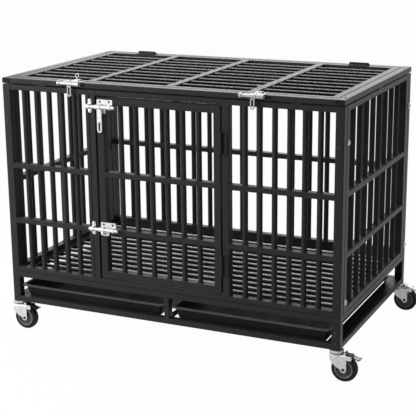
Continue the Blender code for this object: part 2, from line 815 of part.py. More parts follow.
def fork_mesh():
    """The swivel fork about its own swivel axis, its trail towards +X."""
    crown_foot = 2 * wheel_radius + fork_gap
    crown_top = crown_foot + fork_plate
    half = wheel_width / 2 + fork_side_gap + fork_plate
    crown = blocks(((-fork_half_length, -half, crown_foot), (fork_half_length + fork_ear, half, crown_top)))
    race = rod((0, 0, crown_foot + weld_step), (0, 0, crown_top + race_height), race_radius)
    head = crown_top - weld_step
    # Each side plate narrows to the axle, with a cheek beside the brake
    side = arc(caster_trail, wheel_radius, fork_toe_radius, 190, 350, 8)
    side += [(side[-1][0], crown_top - cheek_height), (cheek_out, crown_top - cheek_height)]
    side += [(cheek_out, head), (-fork_half_length + weld_step, head)]
    sides = []
    for y in (-half + fork_plate / 2, half - fork_plate / 2):
        lay = Matrix.Translation((0, y, 0)) @ Matrix.Rotation(math.pi / 2, 4, "X")
        sides.append(outline_plate(side, fork_plate - weld_step, lay))
    reach = half + axle_head
    axle = rod((caster_trail, -reach, wheel_radius), (caster_trail, reach, wheel_radius), axle_radius, 12)
    pivot_z = crown_top + pedal_rise
    ears = []
    ear_end = fork_half_length + fork_ear - weld_step
    for y in (-pedal_width / 2 - fork_plate, pedal_width / 2 + fit_gap):
        ears.append(((pedal_pivot_out - pedal_barrel, y, crown_foot + weld_step),
                     (ear_end, y + fork_plate - fit_gap, pivot_z + pedal_ear_head)))
    pin_half = pedal_width / 2 + fork_plate / 2
    pin = rod((pedal_pivot_out, -pin_half, pivot_z), (pedal_pivot_out, pin_half, pivot_z), pedal_pin, 12)
    return weld(crown, race, sides[0], sides[1], axle, blocks(*ears), pin)


def pedal_mesh():
    """The brake pedal: a barrel on the fork's pin and a tread that reaches out over the wheel."""
    pivot_z = 2 * wheel_radius + fork_gap + fork_plate + pedal_rise
    tip_x = pedal_pivot_out + pedal_reach
    tip_z = pivot_z - pedal_fall
    lip_z = tip_z + pedal_lip_rise
    outline = [(pedal_pivot_out, pivot_z + pedal_thickness / 2),
               (pedal_pivot_out, pivot_z - pedal_thickness / 2),
               (tip_x - pedal_lip, tip_z - pedal_thickness), (tip_x, lip_z - pedal_thickness),
               (tip_x, lip_z), (tip_x - pedal_lip, tip_z)]
    tread = outline_plate(outline, pedal_width - 2 * fit_gap, Matrix.Rotation(math.pi / 2, 4, "X"))
    half = pedal_width / 2 - 2 * fit_gap
    barrel = rod((pedal_pivot_out, -half, pivot_z), (pedal_pivot_out, half, pivot_z), pedal_barrel, 16)
    # The shoe under the tread meets the tyre when the pedal is pressed
    shoe_x = pedal_pivot_out + shoe_out
    over_axle = shoe_x + shoe_length / 2 - caster_trail
    tyre_top = wheel_radius + math.sqrt(wheel_radius ** 2 - over_axle ** 2)
    shoe_head = pivot_z - pedal_fall * shoe_out / pedal_reach
    shoe = blocks(((shoe_x - shoe_length / 2, -shoe_width / 2, tyre_top + shoe_clearance),
                   (shoe_x + shoe_length / 2, shoe_width / 2, shoe_head)))
    hole = rod((pedal_pivot_out, -pedal_width, pivot_z), (pedal_pivot_out, pedal_width, pivot_z),
               pedal_pin + fit_gap, 12)
    return cut(weld(tread, barrel, shoe), hole)


def tyre_mesh(lay):
    half = wheel_width / 2
    profile = [(hub_radius, half), (wheel_radius - tyre_shoulder, half),
               (wheel_radius - tyre_shoulder / 3, half - tyre_shoulder / 2),
               (wheel_radius, half - tyre_shoulder * 3 / 2)]
    profile += [(radius, -height) for radius, height in reversed(profile)]
    return turned(profile, 24, lay)


def hub_mesh(lay):
    half = wheel_width / 2
    rim = hub_radius - fit_gap
    bore = axle_radius + fit_gap
    boss = axle_radius * 2
    profile = [(bore, half), (boss, half), (boss, half - hub_dish), (rim - hub_rim, half - hub_dish),
               (rim - hub_rim, half - fit_gap), (rim, half - fit_gap)]
    profile += [(radius, -height) for radius, height in reversed(profile)]
    return turned(profile, 16, lay)


def make_casters():
    fork = fork_mesh()
    pedal = pedal_mesh()
    wheel_lay = Matrix.Translation((caster_trail, 0, wheel_radius)) @ Matrix.Rotation(math.pi / 2, 4, "X")
    tyre = tyre_mesh(wheel_lay)
    hub = hub_mesh(wheel_lay)
    disc_foot = 2 * wheel_radius + fork_gap + fork_plate + race_height + fit_gap
    disc = rod((0, 0, disc_foot), (0, 0, leg_foot - fit_gap), mount_disc_radius)
    corners = {
        "front_left": (left + post_size / 2, front + post_size / 2),
        "front_right": (right - post_size / 2, front + post_size / 2),
        "rear_left": (left + post_size / 2, rear - post_size / 2),
        "rear_right": (right - post_size / 2, rear - post_size / 2),
    }
    black_pedals = ("front_left", "front_right")
    for corner, (x, y) in corners.items():
        lay = Matrix.Translation((x, y, 0))
        place(moved(disc, lay), f"{corner}_caster_plate", zinc)
        place(moved(fork, lay), f"{corner}_fork", zinc)
        place(moved(tyre, lay), f"{corner}_tyre", rubber)
        place(moved(hub, lay), f"{corner}_hub", grey_plastic)
        place(moved(pedal, lay), f"{corner}_brake_pedal", black_plastic if corner in black_pedals else zinc)


def main():
    global parts, cutters
    clear_scene()
    parts = new_collection("dog_cage")
    cutters = new_collection("cutters")
    make_base_frame()
    make_floor_grate()
    make_tray("left_tray", inner_left, -divider_width / 2)
    make_tray("right_tray", divider_width / 2, inner_right)
    make_front_panel()
    make_rear_panel()
    make_side_panel("left_panel", left, one_mid)
    make_side_panel("right_panel", inner_right, two_mids)
    make_door()
    make_hinges()
    make_top_frame()
    make_lid()
    make_door_bolts()
    make_lid_bolt("left_lid_bolt", left + left_lid_bolt)
    make_lid_bolt("right_lid_bolt", right - right_lid_bolt)
    make_casters()


main()
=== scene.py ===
# Dog cage on casters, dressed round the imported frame. Metres, Z up, the front looks along -Y.
import math

import bmesh
import bpy
import numpy as np
from mathutils import Matrix, Vector


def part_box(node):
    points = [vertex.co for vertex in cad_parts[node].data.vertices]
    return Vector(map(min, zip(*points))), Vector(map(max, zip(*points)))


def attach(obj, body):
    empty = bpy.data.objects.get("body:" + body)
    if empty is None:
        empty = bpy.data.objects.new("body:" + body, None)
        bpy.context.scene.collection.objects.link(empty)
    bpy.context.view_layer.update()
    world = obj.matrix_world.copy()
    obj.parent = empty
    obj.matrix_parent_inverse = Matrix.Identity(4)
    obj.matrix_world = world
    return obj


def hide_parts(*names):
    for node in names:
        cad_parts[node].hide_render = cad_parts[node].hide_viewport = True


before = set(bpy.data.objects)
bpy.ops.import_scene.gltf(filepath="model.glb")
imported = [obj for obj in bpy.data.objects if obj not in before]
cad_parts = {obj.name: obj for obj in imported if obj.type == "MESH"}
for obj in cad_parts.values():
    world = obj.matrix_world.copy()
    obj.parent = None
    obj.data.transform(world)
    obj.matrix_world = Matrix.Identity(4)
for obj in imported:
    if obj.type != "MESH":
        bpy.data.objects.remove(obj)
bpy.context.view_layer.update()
print("frame loaded:", len(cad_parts), "nodes")

baseLow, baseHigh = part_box("base_frame")
panelLow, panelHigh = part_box("rear_panel")
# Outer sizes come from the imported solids, to a tenth of a millimetre. A welded piece is inset by a hair from
# the next one's faces, and its ends bite into it
cage = dict(left=baseLow.x, right=baseHigh.x, front=baseLow.y, rear=baseHigh.y, foot=baseLow.z,
            baseTop=baseHigh.z, panelFoot=panelLow.z, panelHead=panelHigh.z, top=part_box("top_frame")[1].z,
            post=0.025, postCorner=0.0024, rail=0.016, inset=0.0003, bite=0.004)
cage = {key: round(value, 4) for key, value in cage.items()}
left, right, front, rear = (cage[key] for key in ("left", "right", "front", "rear"))
post, inset, bite = cage["post"], cage["inset"], cage["bite"]
innerLeft, innerRight, innerFront, innerRear = left + post, right - post, front + post, rear - post


def newItem(name, data):
    item = bpy.data.objects.new(name, data)
    bpy.context.scene.collection.objects.link(item)
    return item


camera = dict(azimuth=24.889, elevation=15.139, roll=-0.562, lens=101.07, sensor=36.0,
              place=(1.4722, -3.2016, 1.3162))


def placeCamera():
    turn, lift, roll = (math.radians(camera[key]) for key in ("azimuth", "elevation", "roll"))
    back = Vector((math.sin(turn) * math.cos(lift), -math.cos(turn) * math.cos(lift), math.sin(lift)))
    side = Vector((math.cos(turn), math.sin(turn), 0.0))
    up = back.cross(side)
    rolledSide = side * math.cos(roll) + up * math.sin(roll)
    rolledUp = up * math.cos(roll) - side * math.sin(roll)
    data = bpy.data.cameras.new("photoCamera")
    data.lens = camera["lens"]
    data.sensor_width = camera["sensor"]
    item = newItem("photoCamera", data)
    facing = Matrix((rolledSide, rolledUp, back)).transposed().to_4x4()
    item.matrix_world = Matrix.Translation(camera["place"]) @ facing
    bpy.context.scene.camera = item


def addNode(tree, kind, inputs=None, **settings):
    # An input is given by its name or number, as a value or as another node's output
    node = tree.nodes.new("ShaderNode" + kind)
    for key, value in settings.items():
        setattr(node, key, value)
    for key, value in (inputs or {}).items():
        if isinstance(value, bpy.types.NodeSocket):
            tree.links.new(value, node.inputs[key])
        else:
            node.inputs[key].default_value = value
    return node


def maths(tree, operation, first, second):
    return addNode(tree, "Math", {0: first, 1: second}, operation=operation).outputs[0]


def seenRays(tree):
    # One where the camera, a reflection or a see-through ray looks, zero for diffuse light
    path = addNode(tree, "LightPath").outputs
    direct = maths(tree, "MAXIMUM", path["Is Camera Ray"], path["Is Glossy Ray"])
    return maths(tree, "MAXIMUM", direct, path["Is Transmission Ray"])


stage = dict(sky=0.09, floorGrey=0.80, floorWhite=0.98, floorReach=60.0)
lamps = {
    "keyLight": dict(power=66.0, size=(1.3, 1.1), place=(-1.9, -1.9, 1.25), aim=(-0.35, -0.3, 0.5)),
    "topLight": dict(power=52.0, size=(2.0, 1.4), place=(-0.2, -0.1, 3.0), aim=(0.0, 0.0, 0.5)),
    "rearLight": dict(power=92.0, size=(4.4, 3.4), place=(-1.0, 4.0, 2.7), aim=(0.0, 0.0, 0.6)),
}


def lightSky():
    # A dim sky for diffuse light, plain white for what looks straight at it
    world = bpy.data.worlds.new("studio")
    bpy.context.scene.world = world
    world.use_nodes = True
    tree = world.node_tree
    tree.nodes.clear()
    white = (1, 1, 1, 1)
    soft = addNode(tree, "Background", {"Color": white, "Strength": stage["sky"]}).outputs[0]
    plain = addNode(tree, "Background", {"Color": white}).outputs[0]
    mixed = addNode(tree, "MixShader", {0: seenRays(tree), 1: soft, 2: plain}).outputs[0]
    addNode(tree, "OutputWorld", {"Surface": mixed})


def layFloor():
    # Grey paint that keeps the shadow, mixed with a white glow that only the looking rays see
    finish = bpy.data.materials.new("studioFloor")
    finish.use_nodes = True
    tree = finish.node_tree
    tree.nodes.clear()
    paint = addNode(tree, "BsdfDiffuse", {"Color": (stage["floorGrey"],) * 3 + (1,)}).outputs[0]
    glow = addNode(tree, "Emission").outputs[0]
    share = maths(tree, "MULTIPLY", seenRays(tree), stage["floorWhite"])
    mixed = addNode(tree, "MixShader", {0: share, 1: paint, 2: glow}).outputs[0]
    addNode(tree, "OutputMaterial", {"Surface": mixed})
    sheet = bpy.data.meshes.new("studioFloor")
    reach = stage["floorReach"]
    sheet.from_pydata([(x * reach, y * reach, 0) for x, y in ((-1, -1), (1, -1), (1, 1), (-1, 1))], [],
                      [(0, 1, 2, 3)])
    sheet.materials.append(finish)
    newItem("studioFloor", sheet)


def hangLamps():
    for name, lamp in lamps.items():
        data = bpy.data.lights.new(name, "AREA")
        data.shape = "RECTANGLE"
        data.energy = lamp["power"]
        data.size, data.size_y = lamp["size"]
        item = newItem(name, data)
        item.location = lamp["place"]
        item.rotation_mode = "QUATERNION"
        item.rotation_quaternion = (Vector(lamp["aim"]) - item.location).to_track_quat("-Z", "Y")


bpy.context.scene.view_settings.view_transform = "Standard"
placeCamera()
lightSky()
layFloor()
hangLamps()
print("camera and stage set")


def skin(rings, capped=True, looped=False):
    # Rings of points, an array of ring, side and coordinate. A point joins its neighbour and the next ring
    count, sides = rings.shape[:2]
    index = np.arange(count * sides).reshape(count, sides)
    here = index if looped else index[:-1]
    there = np.roll(index, -1, 0) if looped else index[1:]
    quads = np.stack([here, np.roll(here, -1, 1), np.roll(there, -1, 1), there], -1).reshape(-1, 4)
    caps = [index[0][::-1].tolist(), index[-1].tolist()] if capped and not looped else []
    return rings.reshape(-1, 3), quads.tolist() + caps


def joined(shapes):
    # Skins laid one after another in one list of points, their face numbers moved along
    points, faces, start = [], [], 0
    for corners, polygons in shapes:
        points.append(corners)
        faces += [[number + start for number in polygon] for polygon in polygons]
        start += len(corners)
    return np.concatenate(points), faces


def laid(shape, matrix):
    # Every point times the matrix, so a shape worked out about its own axes takes its place
    corners, faces = shape
    full = np.array(matrix)
    return corners @ full[:3, :3].T + full[:3, 3], faces


def towards(place, direction, across="Y"):
    # The matrix that lays a shape's own Z along a direction from a place
    return Matrix.Translation(place) @ Vector(direction).to_track_quat("Z", across).to_matrix().to_4x4()


def upright(x, y, z):
    # The matrix that stands a flat shape up, its Y along Z, its thickness towards the front
    return Matrix.Translation((x, y, z)) @ Matrix.Rotation(math.pi / 2, 4, "X")


def roundedBox(width, height, radius, steps=3):
    # Four quarter circles of one radius about the corners' centres, counterclockwise
    quarter = np.linspace(0, math.pi / 2, steps + 1)
    angles = np.concatenate([quarter + turn * math.pi / 2 for turn in range(4)])
    signs = np.repeat(np.array([(1, 1), (-1, 1), (-1, -1), (1, -1)]), steps + 1, 0)
    centres = signs * (np.array([width, height]) / 2 - radius)
    return centres + radius * np.stack([np.cos(angles), np.sin(angles)], -1)


def turns(sides):
    return np.arange(sides) / sides * math.tau


def circle(radius, sides):
    return radius * np.stack([np.cos(turns(sides)), np.sin(turns(sides))], -1)


def axes(axis):
    return (axis + 1) % 3, (axis + 2) % 3


def stacked(outlines, heights, axis=2, origin=(0, 0, 0)):
    # Flat outlines set at heights along one axis: outline u and v go to the two next axes in turn
    u, v = axes(axis)
    rings = np.zeros((len(outlines), len(outlines[0]), 3))
    rings[..., u] = np.array([line[:, 0] for line in outlines]) + origin[u]
    rings[..., v] = np.array([line[:, 1] for line in outlines]) + origin[v]
    rings[..., axis] = np.array(heights)[:, None] + origin[axis]
    return rings


def tube(low, high, axis, corner=0.0020, ease=0.0005):
    # A rounded box section carried from low to high along one axis, drawn in a little at both ends
    low, high = np.array(low, float), np.array(high, float)
    u, v = axes(axis)
    size, middle = high - low, (high + low) / 2
    full = roundedBox(size[u], size[v], corner)
    small = roundedBox(size[u] - 2 * ease, size[v] - 2 * ease, corner - ease * 0.6)
    middle[axis] = 0.0
    heights = [low[axis], low[axis] + ease, high[axis] - ease, high[axis]]
    return skin(stacked([small, full, full, small], heights, axis, middle))


def block(low, high, corner=0.0006, ease=0.0003):
    # A tube along the longest side
    size = np.array(high) - np.array(low)
    return tube(low, high, int(np.argmax(size)), min(corner, size.min() * 0.4), min(ease, size.min() * 0.3))


def roundBar(start, end, radius, sides=18):
    # A circle carried along a straight line between two points
    start, end = Vector(start), Vector(end)
    rings = stacked([circle(radius, sides)] * 2, [0.0, (end - start).length])
    return laid(skin(rings), towards(start, end - start, "X"))


def spun(radii, heights, angles):
    # Each radius carried round the axis at its height
    return np.stack(np.broadcast_arrays(radii * np.cos(angles), radii * np.sin(angles), heights), -1)


def turned(profile, centre, direction, sides=24, looped=False, lobes=None):
    # A profile of radius and distance turned about an axis. lobes scales single rings by the angle's function
    angles = turns(sides)
    radii, heights = (np.array(column)[:, None] * np.ones(sides) for column in zip(*profile))
    for ring, shape in (lobes or {}).items():
        radii[ring] *= shape(angles)
    return laid(skin(spun(radii, heights, angles), looped=looped), towards(centre, direction))


def hexagon(angles):
    # Distance to a hexagon's side over the distance to its middle, along each angle
    return 1 / np.cos((angles + math.pi / 6) % (math.pi / 3) - math.pi / 6)


def cross(angles):
    # Four arms: one where the cosine of four times the angle is one, a quarter where it is minus one
    return 0.62 + 0.38 * np.cos(4 * angles) ** 2 * np.sign(np.cos(4 * angles) + 0.1)


def drawnIn(outline, amount):
    # Each point moved towards the inside, square to the line between its two neighbours
    along = np.roll(outline, -1, 0) - np.roll(outline, 1, 0)
    inward = np.stack([-along[:, 1], along[:, 0]], -1)
    return outline + amount * inward / np.linalg.norm(inward, axis=1, keepdims=True)


def plate(outline, heights, axis, origin, ease=0.0003):
    # An outline given a thickness along an axis, its edges eased by drawing the outline in
    inner = drawnIn(outline, ease)
    bottom, top = heights
    rings = stacked([inner, outline, outline, inner], [bottom, bottom + ease, top - ease, top], axis, origin)
    return skin(rings)


def slottedPlate(outer, inner, half, ease=0.0004):
    # A plate about the XY plane with one hole: down the outer outline, back up the hole's, as a loop of rings
    outlines = [drawnIn(outer, ease), outer, outer, drawnIn(outer, ease),
                drawnIn(inner, -ease), inner, inner, drawnIn(inner, -ease)]
    steps = [half, half - ease, ease - half, -half]
    return skin(stacked(outlines, steps + steps[::-1])[::-1], looped=True)


def stadium(length, radius, steps=8):
    # Two half circles a length apart, counterclockwise from the right, the long way up
    half = np.linspace(0, math.pi, steps + 1)
    high = np.stack([radius * np.cos(half), radius * np.sin(half) + length / 2], -1)
    return np.concatenate([high, -high])


def arcPoints(radius, start, end, steps):
    angles = np.radians(np.linspace(start, end, steps + 1))
    return radius * np.stack([np.cos(angles), np.sin(angles)], -1)


weld = dict(barWidth=0.0024, barHeight=0.0022, barReach=0.003, seamRadius=0.0017, ripple=0.16,
            pitch=0.00241, setBack=0.002)


def barBead(centre, direction, radius, seed):
    # A fillet turned about the bar, its width rippled round the bar by three sine waves
    angles = turns(20)
    waves = np.sin(7 * angles + seed) + 0.6 * np.sin(3 * angles + 2.1 * seed) + 0.5 * np.sin(11 * angles)
    wave = 1 + weld["ripple"] * waves
    steps = np.array([(1.0, -0.35), (0.95, 0.10), (0.62, 0.52), (0.18, 0.92), (-0.25, 1.05)])
    radii = radius + steps[:, :1] * weld["barWidth"] * wave
    heights = steps[:, 1:] * weld["barHeight"] * wave
    return laid(skin(spun(radii, heights, angles)), towards(centre, direction))


def seamBead(start, end, seed=0.0, radius=weld["seamRadius"]):
    # A circle carried along an edge, short of both ends, its radius rippled like a row of overlapping coins
    start, end = Vector(start), Vector(end)
    back = (end - start).normalized() * weld["setBack"]
    start, end = start + back, end - back
    length = (end - start).length
    count = max(5, int(length / weld["pitch"] * 2))
    way = np.linspace(0, 1, count)
    ripple = 1 + weld["ripple"] * np.cos(np.arange(count) * math.pi + seed) + 0.10 * np.sin(way * 9 + seed)
    taper = np.minimum(1, 0.35 + 0.65 * np.sin(np.clip(way, 0.02, 0.98) * math.pi) ** 0.35)
    rings = spun((radius * ripple * taper)[:, None], (way * length)[:, None], turns(8))
    return laid(skin(rings), towards(start, end - start))

def noise(tree, place, scale, detail, rough):
    inputs = {"Vector": place, "Scale": scale, "Detail": detail, "Roughness": rough}
    return addNode(tree, "TexNoise", inputs).outputs["Fac"]


def ranged(tree, value, low, high, start=0.0, end=1.0):
    inputs = {"Value": value, "From Min": start, "From Max": end, "To Min": low, "To Max": high}
    return addNode(tree, "MapRange", inputs).outputs["Result"]


def blended(tree, share, first, second):
    # On a colour Mix node the factor, A and B are inputs 0, 6 and 7, and the result is output 2
    return addNode(tree, "Mix", {0: share, 6: first, 7: second}, data_type="RGBA").outputs[2]


def makeGrainGroup():
    # Fine bumps of a sprayed or moulded skin, slow patches, and a tone on faces that look up: thin dust on
    # some finishes, a painted highlight on bar tops and painted shade in the trays
    tree = bpy.data.node_groups.new("skinGrain", "ShaderNodeTree")
    for label, value in (("Grain Size", 0.0012), ("Patch Size", 0.06), ("Dust", 0.2)):
        socket = tree.interface.new_socket(label, in_out="INPUT", socket_type="NodeSocketFloat")
        socket.default_value = value
    for label in ("Height", "Patches", "Dust"):
        tree.interface.new_socket(label, in_out="OUTPUT", socket_type="NodeSocketFloat")
    start, end = tree.nodes.new("NodeGroupInput").outputs, tree.nodes.new("NodeGroupOutput").inputs
    place = addNode(tree, "TexCoord").outputs
    fine = noise(tree, place["Object"], maths(tree, "DIVIDE", 1.0, start["Grain Size"]), 3.0, 0.6)
    slow = noise(tree, place["Object"], maths(tree, "DIVIDE", 1.0, start["Patch Size"]), 4.0, 0.55)
    facing = addNode(tree, "SeparateXYZ", {0: place["Normal"]}).outputs["Z"]
    upward = ranged(tree, facing, 0.0, 1.0, 0.55, 1.0)
    patches = ranged(tree, slow, 0.0, 1.0, 0.3, 0.7)
    fall = maths(tree, "MULTIPLY", maths(tree, "MULTIPLY", upward, patches), start["Dust"])
    for label, value in (("Height", fine), ("Patches", patches), ("Dust", fall)):
        tree.links.new(value, end[label])
    return tree


skinGrain = makeGrainGroup()


def makeFinish(name, look):
    # Two close tones mixed by the patches, dust and painted light over them where faces look up, roughness
    # from the patches, bumps from the grain
    finish = bpy.data.materials.new(name)
    finish.use_nodes = True
    tree = finish.node_tree
    shader = tree.nodes["Principled BSDF"].inputs
    sizes = {"Grain Size": look["grain"], "Patch Size": look["patch"], "Dust": look["dust"]}
    grain = addNode(tree, "Group", sizes, node_tree=skinGrain).outputs
    tones = blended(tree, grain["Patches"], (*look["dark"], 1), (*look["light"], 1))
    withDustAndPaintedLight = blended(tree, grain["Dust"], tones, (*look["dustTone"], 1))
    bumps = {"Strength": look["bump"], "Distance": look["depth"], "Height": grain["Height"]}
    tree.links.new(withDustAndPaintedLight, shader["Base Color"])
    tree.links.new(ranged(tree, grain["Patches"], *look["rough"]), shader["Roughness"])
    tree.links.new(addNode(tree, "Bump", bumps).outputs["Normal"], shader["Normal"])
    shader["Metallic"].default_value = look["metal"]
    shader["Specular IOR Level"].default_value = look["specular"]
    return finish


# What the coats, the plated parts and the moulded parts have in common. A finish gives what differs
coat = dict(grain=0.0016, patch=0.0025, rough=(0.30, 0.42), bump=0.30, depth=0.0003, metal=0.0)
plated = dict(grain=0.0024, patch=0.010, dust=0.05, rough=(0.24, 0.38), bump=0.12, depth=0.0002, metal=0.50,
              specular=0.5)
moulded = dict(grain=0.0008, patch=0.010, depth=0.0002, metal=0.0)
looks = {
    "powder_coat": dict(coat, dark=(0.0165, 0.0167, 0.0171), light=(0.0400, 0.0403, 0.0410),
                        dustTone=(0.06, 0.06, 0.06), patch=0.0022, dust=0.12, rough=(0.27, 0.40), bump=0.60,
                        depth=0.0004, specular=0.06),
    # The floor grate's bars: the frame's dark coat with a painted highlight, a light tone laid thick on faces
    # that look up
    "grate_coat": dict(coat, dark=(0.0150, 0.0150, 0.0152), light=(0.0450, 0.0450, 0.0455),
                       dustTone=(0.85, 0.85, 0.85), dust=1.80, specular=0.10),
    # The lid's bars: painted shade, a near-black coat for their shaded lower halves, and a painted highlight,
    # a light tone on faces that look up
    "lid_bar_coat": dict(coat, dark=(0.0020, 0.0020, 0.0021), light=(0.0045, 0.0045, 0.0046),
                         dustTone=(0.42, 0.42, 0.42), dust=1.35, specular=0.02),
    "zinc_plate": dict(plated, dark=(0.58, 0.585, 0.60), light=(0.72, 0.725, 0.735),
                       dustTone=(0.5, 0.5, 0.5)),
    # The lid bolts: the same zinc darkened, painted shade
    "lid_zinc": dict(plated, dark=(0.34, 0.343, 0.350), light=(0.47, 0.473, 0.480),
                     dustTone=(0.4, 0.4, 0.4)),
    "caster_zinc": dict(plated, dark=(0.56, 0.565, 0.575), light=(0.68, 0.683, 0.69),
                        dustTone=(0.5, 0.5, 0.5), rough=(0.26, 0.40), bump=0.10, metal=0.45),
    # The trays: faces that look up are darkened towards black, painted shade inside the trays
    "tray_plastic": dict(moulded, dark=(0.0120, 0.0120, 0.0123), light=(0.0160, 0.0160, 0.0164),
                         dustTone=(0.0008, 0.0008, 0.0008), grain=0.0007, patch=0.09, dust=1.60,
                         rough=(0.42, 0.54), bump=0.22, specular=0.05),
    # The trays' rims: the same plastic in a lighter tone, a painted highlight along the rim
    "tray_rim": dict(moulded, dark=(0.046, 0.046, 0.047), light=(0.060, 0.060, 0.061),
                     dustTone=(0.10, 0.10, 0.10), grain=0.0007, patch=0.09, dust=0.10, rough=(0.36, 0.48),
                     bump=0.22, specular=0.20),
    "tyre_rubber": dict(moulded, dark=(0.0060, 0.0060, 0.0062), light=(0.0095, 0.0095, 0.0096),
                        dustTone=(0.05, 0.048, 0.046), grain=0.0009, dust=0.10, rough=(0.45, 0.60), bump=0.25,
                        depth=0.0003, specular=0.16),
    "hub_plastic": dict(moulded, dark=(0.050, 0.051, 0.053), light=(0.068, 0.069, 0.071),
                        dustTone=(0.15, 0.15, 0.15), patch=0.012, dust=0.08, rough=(0.34, 0.46), bump=0.20,
                        specular=0.30),
    # The hubs' rim lips: the hub's plastic in a lighter tone, a painted highlight
    "hub_rim": dict(moulded, dark=(0.15, 0.152, 0.156), light=(0.20, 0.202, 0.206), dustTone=(0.2, 0.2, 0.2),
                    dust=0.05, rough=(0.30, 0.42), bump=0.15, specular=0.40),
    "pedal_black": dict(moulded, dark=(0.0075, 0.0075, 0.0078), light=(0.0120, 0.0120, 0.0124),
                        dustTone=(0.06, 0.06, 0.06), dust=0.10, rough=(0.32, 0.46), bump=0.22, specular=0.20),
    "dark_screw": dict(moulded, dark=(0.0040, 0.0040, 0.0042), light=(0.0080, 0.0080, 0.0083),
                       dustTone=(0.03, 0.03, 0.03), grain=0.0010, patch=0.004, dust=0.05, rough=(0.20, 0.32),
                       bump=0.12, depth=0.0001, specular=0.35),
}
finishes = {name: makeFinish(name, look) for name, look in looks.items()}
print("finishes mixed:", ", ".join(finishes))


def makePiece(name, shapes, finish, body, replaced=(), lay=None, sharp=35):
    # The joined skins become one mesh, its faces turned outwards, flat faces kept flat by weighted normals
    corners, faces = laid(joined(shapes), lay) if lay is not None else joined(shapes)
    mesh = bpy.data.meshes.new(name)
    mesh.from_pydata(corners.tolist(), [], faces)
    work = bmesh.new()
    work.from_mesh(mesh)
    bmesh.ops.recalc_face_normals(work, faces=work.faces)
    work.to_mesh(mesh)
    work.free()
    mesh.shade_smooth()
    mesh.set_sharp_from_angle(angle=math.radians(sharp))
    mesh.materials.append(finishes[finish])
    item = newItem(name, mesh)
    item.modifiers.new("flatFaces", "WEIGHTED_NORMAL").keep_sharp = True
    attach(item, body)
    if replaced:
        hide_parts(*replaced)


def camel(node):
    # A piece is named after its node, with capitals where the node has underscores
    first, *words = node.split("_")
    return first + "".join(word.capitalize() for word in words)


def evenly(low, high, count):
    return low + (high - low) / (count + 1) * np.arange(1, count + 1)


def railX(x0, x1, y0, y1, z0, z1):
    # A rail along X whose ends run into the uprights, with a weld bead above and below at each end
    shapes = [tube((x0 - bite, y0 + inset, z0), (x1 + bite, y1 - inset, z1), 0)]
    for number, x in enumerate((x0, x1)):
        shapes += [seamBead((x, y0, z), (x, y1, z), number + z * 40) for z in (z0, z1)]
    return shapes


def railY(x0, x1, y0, y1, z0, z1):
    shapes = [tube((x0 + inset, y0 - bite, z0), (x1 - inset, y1 + bite, z1), 1)]
    for number, y in enumerate((y0, y1)):
        shapes += [seamBead((x0, y, z), (x1, y, z), number + z * 40) for z in (z0, z1)]
    return shapes


def uprights(places, foot, head, crossings=()):
    # Round bars welded at foot and head, and above and below each rail that they cross
    up, down, reach, radius = (0, 0, 1), (0, 0, -1), weld["barReach"], panel["barRadius"]
    shapes = []
    for number, (x, y) in enumerate(places):
        shapes.append(roundBar((x, y, foot - reach), (x, y, head + reach), radius))
        shapes.append(barBead((x, y, foot), up, radius, number * 1.7))
        shapes.append(barBead((x, y, head), down, radius, number * 2.3 + 1))
        for z0, z1 in crossings:
            shapes.append(barBead((x, y, z0), down, radius, number * 1.3 + 2))
            shapes.append(barBead((x, y, z1), up, radius, number * 1.9 + 3))
    return shapes


base = dict(lower=(0.0903, 0.1070), upper=(0.1700, 0.1867), divider=0.008, runnerWidth=0.020,
            runner=(0.1037, 0.1067))


def makeBase():
    shapes = [tube((x, y, cage["foot"]), (x + post, y + post, cage["baseTop"]), 2, cage["postCorner"])
              for x in (left, innerRight) for y in (front, innerRear)]
    for z0, z1 in (base["lower"], base["upper"]):
        for y in (front, innerRear):
            shapes += railX(innerLeft, innerRight, y, y + post, z0, z1)
        for x in (left, innerRight):
            shapes += railY(x, x + post, innerFront, innerRear, z0, z1)
    foot, head, half = base["lower"][1], base["upper"][0], base["divider"]
    for y in (front, innerRear):
        shapes.append(tube((-half, y + 2 * inset, foot - bite), (half, y + post - 2 * inset, head + bite), 2))
        for side in (-1, 1):
            x = side * half
            shapes += [seamBead((x, y, z), (x, y + post, z), side + z * 30) for z in (foot, head)]
    width = base["runnerWidth"]
    for x in (innerLeft - inset, -width / 2, innerRight + inset - width):
        shapes.append(block((x, innerFront - bite, base["runner"][0]),
                            (x + width, innerRear + bite, base["runner"][1])))
    makePiece("baseFrame", shapes, "powder_coat", "cage", ["base_frame"])


grate = dict(beamWidth=0.012, beamCorner=0.0016, barRadius=0.006, barInset=0.0005, count=13, foot=0.1700,
             head=0.1864, middleHead=0.1760)


def makeGrate():
    x0, x1, y0, y1 = innerLeft + inset, innerRight - inset, innerFront + inset, innerRear - inset
    width, radius = grate["beamWidth"], grate["barRadius"]
    height = (grate["foot"] + grate["head"]) / 2
    beams = ((x0, grate["head"]), (-width / 2, grate["middleHead"]), (x1 - width, grate["head"]))
    shapes = [tube((x, y0, grate["foot"]), (x + width, y1, head), 1, grate["beamCorner"])
              for x, head in beams]
    bars = []
    start, end = x0 + grate["barInset"], x1 - grate["barInset"]
    for number, y in enumerate(evenly(y0, y1, grate["count"])):
        bars.append(roundBar((start, y, height), (end, y, height), radius))
        for x, way in ((x0 + width, 1), (x1 - width, -1)):
            shapes.append(barBead((x, y, height), (way, 0, 0), radius, number + x * 9))
    makePiece("floorGrate", shapes, "powder_coat", "cage", ["floor_grate"])
    # The bars carry their own coat, with a painted highlight on their tops
    makePiece("floorGrateBars", bars, "grate_coat", "cage")


tray = dict(corner=0.014, leastCorner=0.004, ribs=5, ribWidth=0.006, ribHeight=0.0012, ribSink=0.0008,
            ribCorner=0.0009, ribsFromSide=0.02, ribsFromEnd=0.045)
